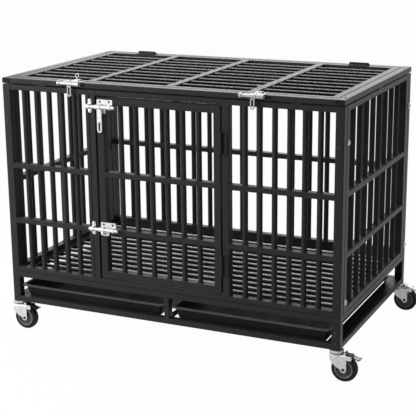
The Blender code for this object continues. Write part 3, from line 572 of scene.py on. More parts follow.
# How far in from the tray's outline each ring lies, and its height above the tray's foot
trayRings = [(0.0215, 0.0), (0.0188, 0.0), (0.0180, 0.0009), (0.0083, 0.0355), (0.0101, 0.0350),
             (0.0196, 0.0045), (0.0212, 0.0026), (0.0245, 0.0020)]
rimRings = [(0.0083, 0.0355), (0.0076, 0.0360), (0.0022, 0.0360), (0.0018, 0.0354), (0.0018, 0.0336),
            (0.0003, 0.0334), (0.0, 0.0340), (0.0, 0.0372), (0.0009, 0.0380), (0.0078, 0.0380),
            (0.0093, 0.0372), (0.0101, 0.0350)]


def trayShape(low, high, rings):
    # Rounded boxes one inside the other, their corners tighter the further in they lie
    width, depth = high.x - low.x, high.y - low.y
    corners = [max(tray["corner"] - inward * 0.4, tray["leastCorner"]) for inward, rise in rings]
    outlines = [roundedBox(width - 2 * inward, depth - 2 * inward, corner, 6)
                for (inward, rise), corner in zip(rings, corners)]
    middle = ((low.x + high.x) / 2, (low.y + high.y) / 2, 0.0)
    return stacked(outlines, [low.z + rise for inward, rise in rings], 2, middle)


def makeTray(node):
    low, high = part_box(node)
    shapes = [skin(trayShape(low, high, trayRings))]
    floor, half = low.z + trayRings[-1][1], tray["ribWidth"] / 2
    sink, end = tray["ribSink"], tray["ribsFromEnd"]
    for x in evenly(low.x + tray["ribsFromSide"], high.x - tray["ribsFromSide"], tray["ribs"]):
        shapes.append(tube((x - half, low.y + end, floor - sink),
                           (x + half, high.y - end, floor + tray["ribHeight"]), 1, tray["ribCorner"], sink))
    makePiece(camel(node), shapes, "tray_plastic", node, [node])
    # The rim is a piece of its own in a lighter tone of the tray's plastic, a painted highlight
    makePiece(camel(node) + "Rim", [skin(trayShape(low, high, rimRings), looped=True)], "tray_rim", node)


makeBase()
makeGrate()
makeTray("left_tray")
makeTray("right_tray")
print("base, grate and trays made")

panel = dict(barRadius=0.008, sillTop=0.2033, headFoot=0.755, twoMids=(0.352, 0.524), oneMid=(0.475,),
             doorLeft=-0.2185, doorRight=0.1825, outerJamb=(-0.2505, -0.2385), innerJamb=(-0.2375, -0.2185),
             hingeJamb=(0.1825, 0.2025), jambCorner=0.0018, jambBead=0.0013, leftBars=5, rightBars=6,
             rearBars=16, sideBars=8)
# The foot and head of a panel's lowest and highest rail
endRails = [(cage["panelFoot"] + inset, panel["sillTop"]), (panel["headFoot"], cage["panelHead"] - inset)]


def midSpans(mids):
    return [(z - cage["rail"] / 2, z + cage["rail"] / 2) for z in mids]


def postsAt(places):
    return [tube((x, y, cage["panelFoot"]), (x + post, y + post, cage["panelHead"]), 2, cage["postCorner"])
            for x, y in places]


def makeFrontBay(node, postX, jambs, railEnds, bay, count):
    sill, head = panel["sillTop"], panel["headFoot"]
    shapes = postsAt([(postX, front)])
    for x0, x1 in jambs:
        shapes.append(tube((x0, front, sill - bite), (x1, innerFront, head + bite), 2, panel["jambCorner"]))
        shapes += [seamBead((x, front, z), (x, innerFront, z), x * 30, panel["jambBead"])
                   for x in (x0, x1) for z in (sill, head)]
    for z0, z1 in endRails:
        shapes.append(tube((railEnds[0], front + inset, z0), (railEnds[1], innerFront - inset, z1), 0))
    x = innerLeft if postX < 0 else innerRight
    shapes += [seamBead((x, front, z), (x, innerFront, z), z * 20) for z in (sill, head)]
    crossings = midSpans(panel["twoMids"])
    for z0, z1 in crossings:
        shapes += railX(*bay, front, innerFront, z0, z1)
    shapes += uprights([(x, front + post / 2) for x in evenly(*bay, count)], sill, head, crossings)
    makePiece(camel(node), shapes, "powder_coat", "cage", [node])


def makeDoorRails():
    for node in ("door_sill_rail", "door_head_rail"):
        rail = tube(*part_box(node), 0, ease=inset)
        makePiece(camel(node), [rail], "powder_coat", "cage", [node])


def makeRearPanel():
    shapes = postsAt([(left, innerRear), (innerRight, innerRear)])
    crossings = midSpans(panel["oneMid"])
    for z0, z1 in endRails + crossings:
        shapes += railX(innerLeft, innerRight, innerRear, rear, z0, z1)
    places = [(x, rear - post / 2) for x in evenly(innerLeft, innerRight, panel["rearBars"])]
    shapes += uprights(places, panel["sillTop"], panel["headFoot"], crossings)
    makePiece("rearPanel", shapes, "powder_coat", "cage", ["rear_panel"])


def makeSidePanel(node, x0, mids):
    x1 = x0 + post
    y0, y1 = innerFront + inset, innerRear - inset - post
    shapes = postsAt([(x0, y0), (x0, y1)])
    bay = (y0 + post, y1)
    crossings = midSpans(mids)
    for z0, z1 in endRails + crossings:
        shapes += railY(x0, x1, *bay, z0, z1)
    for y in evenly(*bay, panel["sideBars"]):
        shapes += uprights([((x0 + x1) / 2, y)], panel["sillTop"], panel["headFoot"], crossings)
    makePiece(camel(node), shapes, "powder_coat", "cage", [node])


door = dict(tube=0.022, bars=6)


def makeDoor():
    low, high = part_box("door")
    foot, head = low.z + door["tube"], high.z - door["tube"]
    bay = (low.x + door["tube"], high.x - door["tube"])
    shapes = [tube((x0, front, low.z), (x1, innerFront, high.z), 2)
              for x0, x1 in ((low.x, bay[0]), (bay[1], high.x))]
    crossings = midSpans(panel["twoMids"])
    for z0, z1 in [(low.z + inset, foot), (head, high.z - inset)] + crossings:
        shapes += railX(*bay, front, innerFront, z0, z1)
    shapes += uprights([(x, front + post / 2) for x in evenly(*bay, door["bars"])], foot, head, crossings)
    makePiece("doorLeaf", shapes, "powder_coat", "door", ["door"])


makeFrontBay("front_left_bay", left, (panel["outerJamb"], panel["innerJamb"]),
             (innerLeft - bite, panel["doorLeft"]), (innerLeft, panel["outerJamb"][0]), panel["leftBars"])
makeFrontBay("front_right_bay", innerRight, (panel["hingeJamb"],),
             (panel["doorRight"], innerRight + bite), (panel["hingeJamb"][1], innerRight), panel["rightBars"])
makeDoorRails()
makeRearPanel()
makeSidePanel("left_panel", left, panel["oneMid"])
makeSidePanel("right_panel", innerRight, panel["twoMids"])
makeDoor()
print("panels and door made")

top = dict(foot=0.774, stopLength=0.030, stopReach=0.012, stopInset=0.120, stopEase=0.0005)


def makeTopFrame():
    z0, z1 = top["foot"], cage["top"]
    shapes = [tube((x, front, z0), (x + post, rear, z1), 1) for x in (left, innerRight)]
    for y, inner in ((front, innerFront), (innerRear, innerRear)):
        shapes.append(tube((innerLeft - bite, y, z0 + inset), (innerRight + bite, y + post, z1 - inset), 0))
        shapes += [seamBead((x, inner, z0), (x, inner, z1), x * 10) for x in (innerLeft, innerRight)]
    foot, ease, length = cage["panelHead"] + inset, top["stopEase"], top["stopLength"]
    reach = post + top["stopReach"]
    for x in (left, right - reach):
        shapes.append(block((x + ease, -length / 2, foot), (x + reach, length / 2, z0 + inset)))
    for x in (left + top["stopInset"], right - top["stopInset"] - length):
        for y in (front, rear - reach):
            shapes.append(block((x, y + ease, foot), (x + length, y + reach, z0 + 2 * inset)))
    makePiece("topFrame", shapes, "powder_coat", "cage", ["top_frame"])


lid = dict(rail=0.022, cross=0.025, crosses=3, crossShort=0.002, corner=0.0018, bars=9, barRadius=0.0065)


def makeLid():
    low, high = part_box("lid")
    x0, x1, y0, y1, z0, z1 = low.x, high.x, low.y, high.y, low.z, high.z
    width, half, short, corner = lid["rail"], lid["cross"] / 2, lid["crossShort"], lid["corner"]
    shapes = [tube((x, y0, z0), (x + width, y1, z1), 1, corner) for x in (x0, x1 - width)]
    for y in (y0, y1 - width):
        shapes.append(tube((x0 + inset, y + inset, z0 + inset),
                           (x1 - inset, y + width - inset, z1 - inset), 0, corner))
    edges = [x0 + width]
    for x in evenly(x0, x1, lid["crosses"]):
        shapes.append(tube((x - half, y0 + short, z0), (x + half, y1 - short, z1), 1, corner))
        edges += [x - half, x + half]
    edges.append(x1 - width)
    for number, x in enumerate(edges):
        shapes += [seamBead((x, y, z0), (x, y, z1), number) for y in (y0 + width, y1 - width)]
    bars = []
    height, radius = (z0 + z1) / 2, lid["barRadius"]
    for row, y in enumerate(evenly(y0 + width, y1 - width, lid["bars"])):
        bars.append(roundBar((x0 + width / 2, y, height), (x1 - width / 2, y, height), radius))
        for number, x in enumerate(edges):
            way = 1 if number % 2 == 0 else -1
            shapes.append(barBead((x, y, height), (way, 0, 0), radius, row + number * 1.4))
    makePiece("lidFrame", shapes, "powder_coat", "lid", ["lid"])
    # The bars carry their own coat: painted shade below, a painted highlight on their tops
    makePiece("lidBars", bars, "lid_bar_coat", "lid")


makeTopFrame()
makeLid()
print("top frame and lid made")


def capBolt(place, direction, radius, height):
    # A washer, then a domed head whose last rings turn from round to six-sided and sink to the socket's floor
    washer = [(radius * 1.28, 0), (radius * 1.32, 0.0003), (radius * 1.32, 0.0008), (radius * 1.24, 0.0011)]
    head = [(radius, 0.0006), (radius, height * 0.38), (radius * 0.95, height * 0.62),
            (radius * 0.80, height * 0.88), (radius * 0.62, height), (radius * 0.47, height),
            (radius * 0.43, height - 0.0003), (radius * 0.42, height * 0.35)]
    return [turned(washer, place, direction, 32),
            turned(head, place, direction, 36, lobes={5: hexagon, 6: hexagon, 7: hexagon})]


def crossScrew(place, direction, radius, height):
    # A low domed head with a four-armed recess
    head = [(radius, 0), (radius, height * 0.30), (radius * 0.93, height * 0.65), (radius * 0.72, height),
            (radius * 0.66, height), (radius * 0.60, height - 0.0002), (radius * 0.44, height * 0.30)]
    return [turned(head, place, direction, 32, lobes={4: cross, 5: cross, 6: cross})]


def screwsAt(places, direction, size, make=crossScrew):
    return [shape for place in places for shape in make(place, direction, *size)]


# A size is a head's radius and height
capBolts = dict(size=(0.0066, 0.0046), depths=(-0.2875, 0.3120), heights=(0.220, 0.670))
legScrews = dict(size=(0.0040, 0.0016), heights=(0.108, 0.1395, 0.660))
topScrews = dict(size=(0.0034, 0.0012), fromSide=0.012, fromMiddle=0.284)
plug = dict(margin=0.0036, corner=0.0016, depth=0.004, stand=0.0012, ease=0.0005)


def makeFrameFixings():
    bolts = []
    for side, x in ((-1, left), (1, right)):
        spots = [(x, y, z) for y in capBolts["depths"] for z in capBolts["heights"]]
        bolts += screwsAt(spots, (side, 0, 0), capBolts["size"], capBolt)
    makePiece("panelCapBolts", bolts, "caster_zinc", "cage")
    middles = (left + post / 2, right - post / 2)
    screws = []
    for y, way in ((front, -1), (rear, 1)):
        spots = [(x, y, z) for x in middles for z in legScrews["heights"]]
        screws += screwsAt(spots, (0, way, 0), legScrews["size"], capBolt)
    reach = right - topScrews["fromSide"]
    spots = [(side * reach, y * topScrews["fromMiddle"], cage["top"]) for side in (-1, 1) for y in (-1, 1)]
    makePiece("frameScrews", screws + screwsAt(spots, (0, 0, 1), topScrews["size"]), "dark_screw", "cage")
    height = cage["top"] - top["foot"]
    outline = roundedBox(height - plug["margin"], post - plug["margin"], plug["corner"])
    plugs = []
    for x in middles:
        for y, way in ((front, -1), (rear, 1)):
            span = sorted((y - way * plug["depth"], y + way * plug["stand"]))
            plugs.append(plate(outline, span, 1, (x, 0, top["foot"] + height / 2), plug["ease"]))
    makePiece("tubePlugs", plugs, "tray_plastic", "cage")


hinge = dict(length=0.062, leaf=0.0020, reach=0.019, corner=0.0035, gap=0.0003, lip=0.0006, pinShare=0.44,
             edge=0.0004, screwAt=(0.0132, 0.0195), screw=(0.0026, 0.0009), screwSink=0.0001)


def hingeHalf(radius, side, spans, pinned):
    # Worked out with the barrel up Z, the leaf towards side times X and its outer face towards Y
    half, leaf, gap, lip = hinge["length"] / 2, hinge["leaf"], hinge["gap"], hinge["lip"]
    back, root, pin = -(radius + gap), radius + 2 * gap, radius * hinge["pinShare"]
    width = hinge["reach"] - root
    outline = roundedBox(2 * half - 2 * gap, width, hinge["corner"], 5)
    shapes = [plate(outline, (back, back + leaf), 1, (side * (root + width / 2), 0, 0), hinge["edge"])]
    for z0, z1 in spans:
        low, high = sorted((side * pin * 1.6, side * (root + leaf)))
        shapes.append(tube((low, back + gap, z0 + gap), (high, back + leaf - gap, z1 - gap), 2, gap, 0.0002))
        barrel = [(radius * 0.86, z0), (radius, z0 + lip), (radius, z1 - lip), (radius * 0.86, z1)]
        shapes.append(turned(barrel, (0, 0, 0), (0, 0, 1), 28))
    if pinned:
        dome = [(pin * 1.5, half - 0.0002), (pin * 1.5, half + 0.0004), (pin * 1.1, half + 0.0008),
                (pin * 0.4, half + 0.0010)]
        shapes += [turned(dome, (0, 0, 0), (0, 0, way), 20) for way in (-1, 1)]
    return shapes


def makeHinge(node, centre, leafSide, leafNormal, barrelWay, radius, body):
    lay = Matrix((leafSide, leafNormal, barrelWay)).transposed().to_4x4()
    lay = Matrix.Translation(centre) @ lay
    half, third, gap = hinge["length"] / 2, hinge["length"] / 3, hinge["gap"]
    outer = ((-half, -half + third), (half - third, half))
    inner = ((-half + third + gap, half - third - gap),)
    across, up = hinge["screwAt"]
    depth = hinge["leaf"] - radius - gap - hinge["screwSink"]
    for part, side, spans, carrier in (("fixed", 1, outer, "cage"), ("moving", -1, inner, body)):
        title = camel(node + "_" + part)
        shapes = hingeHalf(radius, side, spans, part == "fixed")
        makePiece(title, shapes, "powder_coat", carrier, [node + "_" + part], lay)
        screws = screwsAt([(side * across, depth, z) for z in (-up, up)], (0, 1, 0), hinge["screw"])
        makePiece(title + "Screws", screws, "dark_screw", carrier, lay=lay)


def makeHinges():
    for name in ("upper", "lower"):
        node, radius = name + "_door_hinge", 0.005
        low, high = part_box(node + "_fixed")
        centre = (high.x - hinge["reach"], low.y + radius, (low.z + high.z) / 2)
        makeHinge(node, centre, (1, 0, 0), (0, -1, 0), (0, 0, 1), radius, "door")
    for name in ("left", "right"):
        node, radius = name + "_lid_hinge", 0.004
        low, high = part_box(node + "_fixed")
        centre = ((low.x + high.x) / 2, high.y - hinge["reach"], high.z - radius)
        makeHinge(node, centre, (0, 1, 0), (0, 0, 1), (1, 0, 0), radius, "lid")


def rounded(points, radii, steps=5):
    # Every corner of a polygon becomes a short curve between two points set back from it along its sides
    points = np.array(points, float)
    way = np.linspace(0, 1, steps + 1)[:, None]
    curves = []
    for number, corner in enumerate(points):
        before, after = points[number - 1] - corner, points[(number + 1) % len(points)] - corner
        start = corner + before / np.linalg.norm(before) * radii[number]
        end = corner + after / np.linalg.norm(after) * radii[number]
        curves.append(start * (1 - way) ** 2 + 2 * corner * way * (1 - way) + end * way ** 2)
    return np.concatenate(curves)


bolt = dict(radius=0.005, wall=0.0022, bore=0.0054, sheet=0.0016, edge=0.0004, sink=0.0002, back=-0.3253,
            loop=0.007, collar=0.005)


def strap(x0, x1, y, z, back):
    # A strip bent round the rod: straight from the plate, half round in front, and straight back
    outer, inner = bolt["radius"] + bolt["wall"], bolt["bore"]
    depth = back - y
    line = np.concatenate([[(depth, outer)], arcPoints(outer, 90, 270, 20), [(depth, -outer)],
                           [(depth, -inner)], arcPoints(inner, 270, 90, 20), [(depth, inner)]])
    return plate(line, (x0, x1), 0, (0, y, z))


def rodShape(x0, x1, y, z, openEnd):
    # A rod turned about X: a knob and neck at the left, a groove and a ring or an open end at the right
    radius, end = bolt["radius"], x1 - x0
    knob = [(0.0008, 0.0), (0.0026, 0.0003), (0.0041, 0.0013), (0.0050, 0.0034), (0.0049, 0.0046),
            (0.0042, 0.0058), (0.0042, 0.0062), (radius, 0.0072)]
    if openEnd:
        tail = [(radius, end - 0.0006), (0.0046, end), (0.0038, end), (0.0034, end - 0.0050)]
    else:
        tail = [(radius, end - 0.0150), (0.0042, end - 0.0145), (0.0042, end - 0.0128),
                (radius, end - 0.0123), (radius, end - 0.0050), (0.0044, end - 0.0044),
                (0.0044, end - 0.0036), (radius, end - 0.0030), (radius, end - 0.0012),
                (0.0040, end - 0.0002), (0.0030, end)]
    return turned(knob + tail, (x0, y, z), (1, 0, 0), 28)


def ring(x0, x1, y, z):
    # A short tube round the rod, its wall's outline turned once round
    outer, inner, ease = bolt["radius"] + bolt["wall"], bolt["bore"], 0.0005
    profile = [(inner, x0 + ease), (inner + ease, x0), (outer - ease, x0), (outer, x0 + ease),
               (outer, x1 - ease), (outer - ease, x1), (inner + ease, x1), (inner, x1 - ease)]
    return turned(profile, (0, y, z), (1, 0, 0), 32, looped=True)


def cornerBox(width, low, high, lowRadius, highRadius, steps=7):
    # A box from low to high about the line u = 0, its lower and its upper corners rounded by their own radii
    upper, lower = (highRadius, high - highRadius), (lowRadius, low + lowRadius)
    lines = []
    for turn, (radius, end), side in ((0, upper, 1), (1, upper, -1), (2, lower, -1), (3, lower, 1)):
        centre = np.array([side * (width / 2 - radius), end])
        lines.append(centre + arcPoints(radius, turn * 90, turn * 90 + 90, steps))
    return np.concatenate(lines)


handle = dict(half=0.0015, corner=0.0016, ease=0.0001, shoulder=0.0082, slotWidth=0.006, slotFoot=0.003,
              neck=0.0045, neckHalf=0.0014, neckFoot=0.0092, neckHead=0.0058, neckCorner=0.0008)


def slottedHandle(x, y, z, width, length, slotLength):
    # The strip hangs from a collar on the rod. Outline and slot have as many points, so one loop closes it
    ease, corner = handle["ease"], handle["corner"]
    outer = cornerBox(width, -length, -handle["shoulder"], width / 2 - ease, corner)
    slotWidth = handle["slotWidth"]
    slotFoot = width / 2 - length - handle["slotFoot"]
    slotRadius = (slotWidth - ease) / 2
    slot = cornerBox(slotWidth, slotFoot, slotFoot + slotLength + slotWidth, slotRadius, slotRadius)
    neck, depth = handle["neck"], handle["neckHalf"]
    foot, head = (x - neck, y - depth, z - handle["neckFoot"]), (x + neck, y + depth, z - handle["neckHead"])
    return [laid(slottedPlate(outer, slot, handle["half"]), upright(x, y, z)),
            tube(foot, head, 2, handle["neckCorner"]),
            ring(x - bolt["collar"], x + bolt["collar"], y, z)]


# A handle is given as its width, length and slot length
doorBolt = dict(earSpacing=0.029, earRadius=0.006, keeperHalf=0.0055, dome=0.0042, plateHalf=0.0205,
                plateCorner=0.0045, flange=0.028, flangeHead=0.001, flangeCorner=0.0015, strap=0.0064,
                screw=(0.0031, 0.0013), screwIn=0.0105, screwUp=0.0140, lowScrewIn=0.014,
                lowScrewDown=0.0142, handle=(0.015, 0.075, 0.020), gripWay=(0, -0.447, -0.894))


def makeDoorBolt(node):
    name = camel(node)
    low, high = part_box(node + "_rod")
    y, z = (low.y + high.y) / 2, (low.z + high.z) / 2
    back, sheet, edge, sink = bolt["back"], bolt["sheet"], bolt["edge"], bolt["sink"]
    face = back - sheet
    makePiece(name + "Rod", [rodShape(low.x, high.x, y, z, False)], "zinc_plate", node, [node + "_rod"])

    low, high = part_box(node + "_keeper")
    middle, half, spacing = (low.x + high.x) / 2, doorBolt["keeperHalf"], doorBolt["earSpacing"]
    ears = plate(stadium(spacing, doorBolt["earRadius"], 12), (0, sheet), 2, (0, 0, 0), edge)
    wide = doorBolt["dome"]
    dome = [(wide, 0), (wide, 0.0006), (wide * 0.82, 0.0017), (wide * 0.35, 0.0024)]
    keeper = [laid(ears, upright(middle, back, z)), strap(middle - half, middle + half, y, z, back - sink)]
    keeper += [turned(dome, (middle, face, z + side * spacing / 2), (0, -1, 0)) for side in (-1, 1)]
    makePiece(name + "Keeper", keeper, "zinc_plate", "cage", [node + "_keeper"])

    low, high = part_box(node + "_body")
    x0, x1 = low.x, high.x
    reach, step, foot = doorBolt["plateHalf"], x0 + doorBolt["flange"], -doorBolt["flangeHead"]
    outline = rounded([(x1, foot), (x1, reach), (x0, reach), (x0, -reach), (step, -reach), (step, foot)],
                      [doorBolt["flangeCorner"]] + [doorBolt["plateCorner"]] * 4 + [doorBolt["flangeCorner"]])
    body = [laid(plate(outline, (0, sheet), 2, (0, 0, 0), edge), upright(0, back, z))]
    for start in (x0 + 2 * inset, x1 - bolt["loop"]):
        body.append(strap(start, start + doorBolt["strap"], y, z, back - 2 * sink))
    makePiece(name + "Body", body, "zinc_plate", "door", [node + "_body"])
    spots = [(x0 + doorBolt["screwIn"], face, z + doorBolt["screwUp"]),
             (x1 - doorBolt["screwIn"], face, z + doorBolt["screwUp"]),
             (x0 + doorBolt["lowScrewIn"], face, z - doorBolt["lowScrewDown"])]
    makePiece(name + "Screws", screwsAt(spots, (0, -1, 0), doorBolt["screw"]), "dark_screw", "door")
    # The middle of the collar that lies close beside the left loop
    return x0 + bolt["loop"] + inset + bolt["collar"], y, z


def makeDoorBolts():
    place = makeDoorBolt("upper_bolt")
    makePiece("upperBoltHandle", slottedHandle(*place, *doorBolt["handle"]), "zinc_plate",
              "upper_bolt_handle", ["upper_bolt_handle"])
    x, y, z = makeDoorBolt("lower_bolt")
    knob = [(0.0035, 0.0058), (0.0035, 0.0125), (0.0039, 0.0132), (0.0039, 0.0142), (0.0030, 0.0152),
            (0.0012, 0.0156)]
    collar = ring(x - bolt["collar"], x + bolt["collar"], y, z)
    grip = [collar, turned(knob, (x, y, z), doorBolt["gripWay"])]
    makePiece("lowerBoltGrip", grip, "zinc_plate", "lower_bolt", ["lower_bolt_grip"])


lidBolt = dict(keeper=0.021, outerLoop=0.003, deckWidth=0.019, deckReach=0.046, deck=0.7903, strip=0.0076,
               deckCorner=0.0040, tab=0.012, tabCorner=0.0030, eyeRadius=0.0065, eyeHole=0.0039,
               eyeHeight=0.020, eyeBack=0.034, eyeHalf=0.0013, stem=(0.0024, 0.0015), stemHead=0.0045,
               stemCorner=0.0008, screw=(0.0024, 0.0010), screwBack=0.041, screwIn=0.0040,
               tabScrew=(0.0028, 0.0012), tabScrewBack=0.0060, handle=(0.013, 0.038, 0.018))


def makeLidBolt(node):
    name = camel(node)
    low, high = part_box(node + "_rod")
    x0, x1, y, z = low.x, high.x, (low.y + high.y) / 2, (low.z + high.z) / 2
    sheet, deck = bolt["sheet"], lidBolt["deck"]
    # The lid bolts' zinc is darkened, painted shade
    makePiece(name + "Rod", [rodShape(x0, x1, y, z, True)], "lid_zinc", node, [node + "_rod"])

    keeperX = x1 - lidBolt["keeper"]
    tabX, tabY = (keeperX + x1) / 2, front + lidBolt["tab"]
    outline = roundedBox(lidBolt["keeper"] - 2 * inset, tabY - y, lidBolt["tabCorner"], 5)
    shapes = [ring(keeperX, x1, y, z), plate(outline, (deck, deck + sheet), 2, (tabX, (y + tabY) / 2, 0))]
    makePiece(name + "Keeper", shapes, "lid_zinc", "cage", [node + "_keeper"])

    outerX = x0 + lidBolt["outerLoop"]
    loopX = keeperX - 2 * inset - bolt["loop"]
    end = loopX + bolt["loop"]
    x2, x3 = end - lidBolt["deckWidth"], end - inset
    strip = (outerX, front - inset - sheet, z + lidBolt["strip"]), (end, front - inset, deck + sheet)
    shapes = [tube(*strip, 0, 0.0005, 0.0004)]
    shapes += [strap(x + inset, x + bolt["loop"] - inset, y, z, front - 2 * inset) for x in (outerX, loopX)]
    eyeX, deckRear = (x2 + x3) / 2, front + lidBolt["deckReach"]
    outline = roundedBox(x3 - x2, deckRear - front + sheet, lidBolt["deckCorner"], 5)
    shapes.append(plate(outline, (deck + inset, deck + sheet - inset), 2,
                        (eyeX, (front - sheet + deckRear) / 2, 0)))
    radius, (half, depth) = lidBolt["eyeRadius"], lidBolt["stem"]
    eyeY, eyeZ = front + lidBolt["eyeBack"], deck + lidBolt["eyeHeight"] - radius
    eye = slottedPlate(circle(radius, 36), circle(lidBolt["eyeHole"], 36), lidBolt["eyeHalf"], 0.0005)
    shapes.append(laid(eye, upright(eyeX, eyeY, eyeZ)))
    shapes.append(tube((eyeX - half, eyeY - depth, deck + 2 * inset),
                       (eyeX + half, eyeY + depth, eyeZ - lidBolt["stemHead"]), 2, lidBolt["stemCorner"]))
    makePiece(name + "Body", shapes, "lid_zinc", "lid", [node + "_body"])

    height = deck + sheet
    screwY, screwIn = front + lidBolt["screwBack"], lidBolt["screwIn"]
    spots = [(x, screwY, height - inset) for x in (x2 + screwIn, x3 - screwIn)]
    makePiece(name + "Screws", screwsAt(spots, (0, 0, 1), lidBolt["screw"]), "dark_screw", "lid")
    spots = [(tabX, front + lidBolt["tabScrewBack"], height)]
    makePiece(name + "TabScrew", screwsAt(spots, (0, 0, 1), lidBolt["tabScrew"]), "dark_screw", "cage")
    shapes = slottedHandle(loopX - inset - bolt["collar"], y, z, *lidBolt["handle"])
    makePiece(name + "Handle", shapes, "lid_zinc", node + "_handle", [node + "_handle"])


# For a caster at the origin, trailing towards X: places along X, and heights from the floor. cheekWall is how
# far in from the fork's sides the inner cheeks lie, earWall how far out from the middle the ears stand
caster = dict(trail=0.024, axle=0.0375, width=0.022, half=0.0155, sheet=0.0025, edge=0.0005, crown=0.0797,
              toe=0.0088, crownRadius=0.0200, crownLeft=-0.0165, crownRight=0.030, forkRight=0.0325,
              bend=0.0040, taper=2.2, step=0.0015, stepPlace=0.42, stepWidth=0.12, stepFoot=0.002,
              stepRise=0.012, cheekIn=0.028, cheekOut=0.047, cheekFoot=0.0657, cheekWall=(0.0026, 0.0008),
              earWidth=0.0064, earHead=0.0860, earSink=0.0015, earWall=(0.0092, 0.0112), pivot=0.026,
              pivotHeight=0.0837, reach=0.046, fall=0.012, rise=0.0010, lip=0.006, pedalHalf=0.0087,
              pedalSheet=0.0018, pedalWall=0.0014, pedalCorner=0.0006,
              shoe=((0.0330, -0.0058, 0.0774), (0.0370, 0.0058, 0.0812)))
axle, pivot = (caster["trail"], 0, caster["axle"]), (caster["pivot"], 0, caster["pivotHeight"])
tipX, tipZ = pivot[0] + caster["reach"], pivot[2] - caster["fall"]


def forkSheet():
    # A strip bent to a U in the YZ plane: up one side, over the crown, down the other. At each step along it
    # the strip runs in X between two edges: round below the axle, tapering above it, a circle over the crown
    half, ease, toe, bend = caster["sheet"] / 2, caster["edge"], caster["toe"], caster["bend"]
    trail, foot, middle = caster["trail"], caster["axle"], caster["half"] - half
    crown = caster["crown"] - half
    shoulder = crown - bend
    sideZ = np.concatenate([foot - toe * np.cos(np.linspace(0.12, math.pi / 2, 9)),
                            np.linspace(foot, shoulder, 12)[1:]])
    corner = np.linspace(0, math.pi / 2, 7)[1:]
    arc = np.stack([-np.cos(corner), np.sin(corner)], -1)
    crownY = np.linspace(bend - middle, 0, 6)[1:]
    path = np.concatenate([[(-middle, z) for z in sideZ], (bend - middle, shoulder) + bend * arc,
                           [(y, crown) for y in crownY]])
    outward = np.concatenate([[(-1, 0)] * len(sideZ), arc, [(0, 1)] * len(crownY)])
    path, outward = (np.concatenate([line, line[-2::-1] * (-1, 1)]) for line in (path, outward))
    y, z = path.T
    rise, over = np.clip((z - foot) / (shoulder - foot), 0, 1), z > shoulder
    below = np.sqrt(np.clip(toe ** 2 - np.clip(foot - z, 0, None) ** 2, 0, None))
    taper = (caster["crownLeft"] - trail + toe) * (1 - (1 - rise) ** caster["taper"])
    near = np.where(z < foot, trail - below, trail - toe + taper)
    far = np.where(z < foot, trail + below, trail + toe + (caster["forkRight"] - trail - toe) * rise)
    curve = np.sqrt(np.clip(caster["crownRadius"] ** 2 - y ** 2, 0, None))
    near = np.where(over, np.minimum(near, -curve), near)
    bent = caster["crownRight"] + (caster["forkRight"] - caster["crownRight"]) * (crown - z) / bend
    far = np.where(over, bent, far)
    # Across the strip: the near half stands out by a pressed step, which fades below the axle and at the bend
    across = np.linspace(0, 1, 25)
    slope = np.clip((across - caster["stepPlace"]) / caster["stepWidth"], 0, 1)
    fade = np.clip((z - foot + caster["stepFoot"]) / caster["stepRise"], 0, 1) * (z < shoulder)
    ridge = caster["step"] * (1 - slope ** 2 * (3 - 2 * slope)) * fade[:, None]
    x = np.column_stack([near, near[:, None] + ease + (far - near - 2 * ease)[:, None] * across, far])
    sides = []
    for way in (1, -1):
        edge = np.full(len(z), way * (half - ease))
        depth = np.column_stack([edge, way * half + ridge, edge])
        sheet = [x, y[:, None] + outward[:, :1] * depth, z[:, None] + outward[:, 1:] * depth]
        sides.append(np.dstack(sheet)[:, ::way])
    return skin(np.concatenate(sides, 1))


def forkShapes():
    half, crown = caster["half"], caster["crown"]
    head, foot, back, end = crown - 2 * inset, caster["cheekFoot"], caster["cheekIn"], caster["cheekOut"]
    cheek = roundedBox(head - foot, end - back, 0.0030, 5)
    cheekMiddle = ((end + back) / 2, 0, (head + foot) / 2)
    # A plate square to Y takes heights first, so the ear's columns change places, its points their order
    ear = cornerBox(caster["earWidth"], crown - caster["earSink"], caster["earHead"], 0.0004, 0.0028, 5)
    ear = ear[:, ::-1][::-1]
    rivet = [(0.0021, 0.0110), (0.0021, 0.0118), (0.0012, 0.0124)]
    washer = [(0.0062, half - 0.0002), (0.0062, half + 0.0004), (0.0058, half + 0.0006)]
    race = [(0.0160, 0.0786), (0.0198, 0.0790), (0.0200, 0.0800), (0.0200, 0.0815), (0.0194, 0.0821),
            (0.0180, 0.0823), (0.0180, 0.0828), (0.0196, 0.0830), (0.0200, 0.0836), (0.0200, 0.0846),
            (0.0194, 0.0852), (0.0150, 0.0852)]
    shapes = [forkSheet()]
    for side in (-1, 1):
        cheekWall = sorted(side * (half - depth) for depth in caster["cheekWall"])
        earWall = sorted(side * y for y in caster["earWall"])
        shapes += [plate(cheek, cheekWall, 1, cheekMiddle, 0.0004),
                   plate(ear, earWall, 1, (pivot[0] + inset, 0, 0)),
                   turned(rivet, pivot, (0, side, 0), 20), turned(washer, axle, (0, side, 0), 28)]
    return shapes + [turned(race, (0, 0, 0), (0, 0, 1), 48)]


def pedalWidth(x):
    # Half the tread's width, drawn in along its last 4 mm by the square of the way
    return caster["pedalHalf"] - np.clip((x - tipX + 0.004) / 0.004, 0, 1) ** 2 * 0.0020


def treadRibs(shares, x, z, halfWidth, halfLength):
    # Low bars across the tread at shares of its length, their heights read off the line x, z
    ribs = []
    for share in shares:
        ribX = pivot[0] + caster["reach"] * share
        ribZ = float(np.interp(ribX, x, z))
        ribs.append(tube((ribX - halfWidth, -halfLength, ribZ - 0.0006),
                         (ribX + halfWidth, halfLength, ribZ + 0.0006), 1, 0.0005, 0.0004))
    return ribs


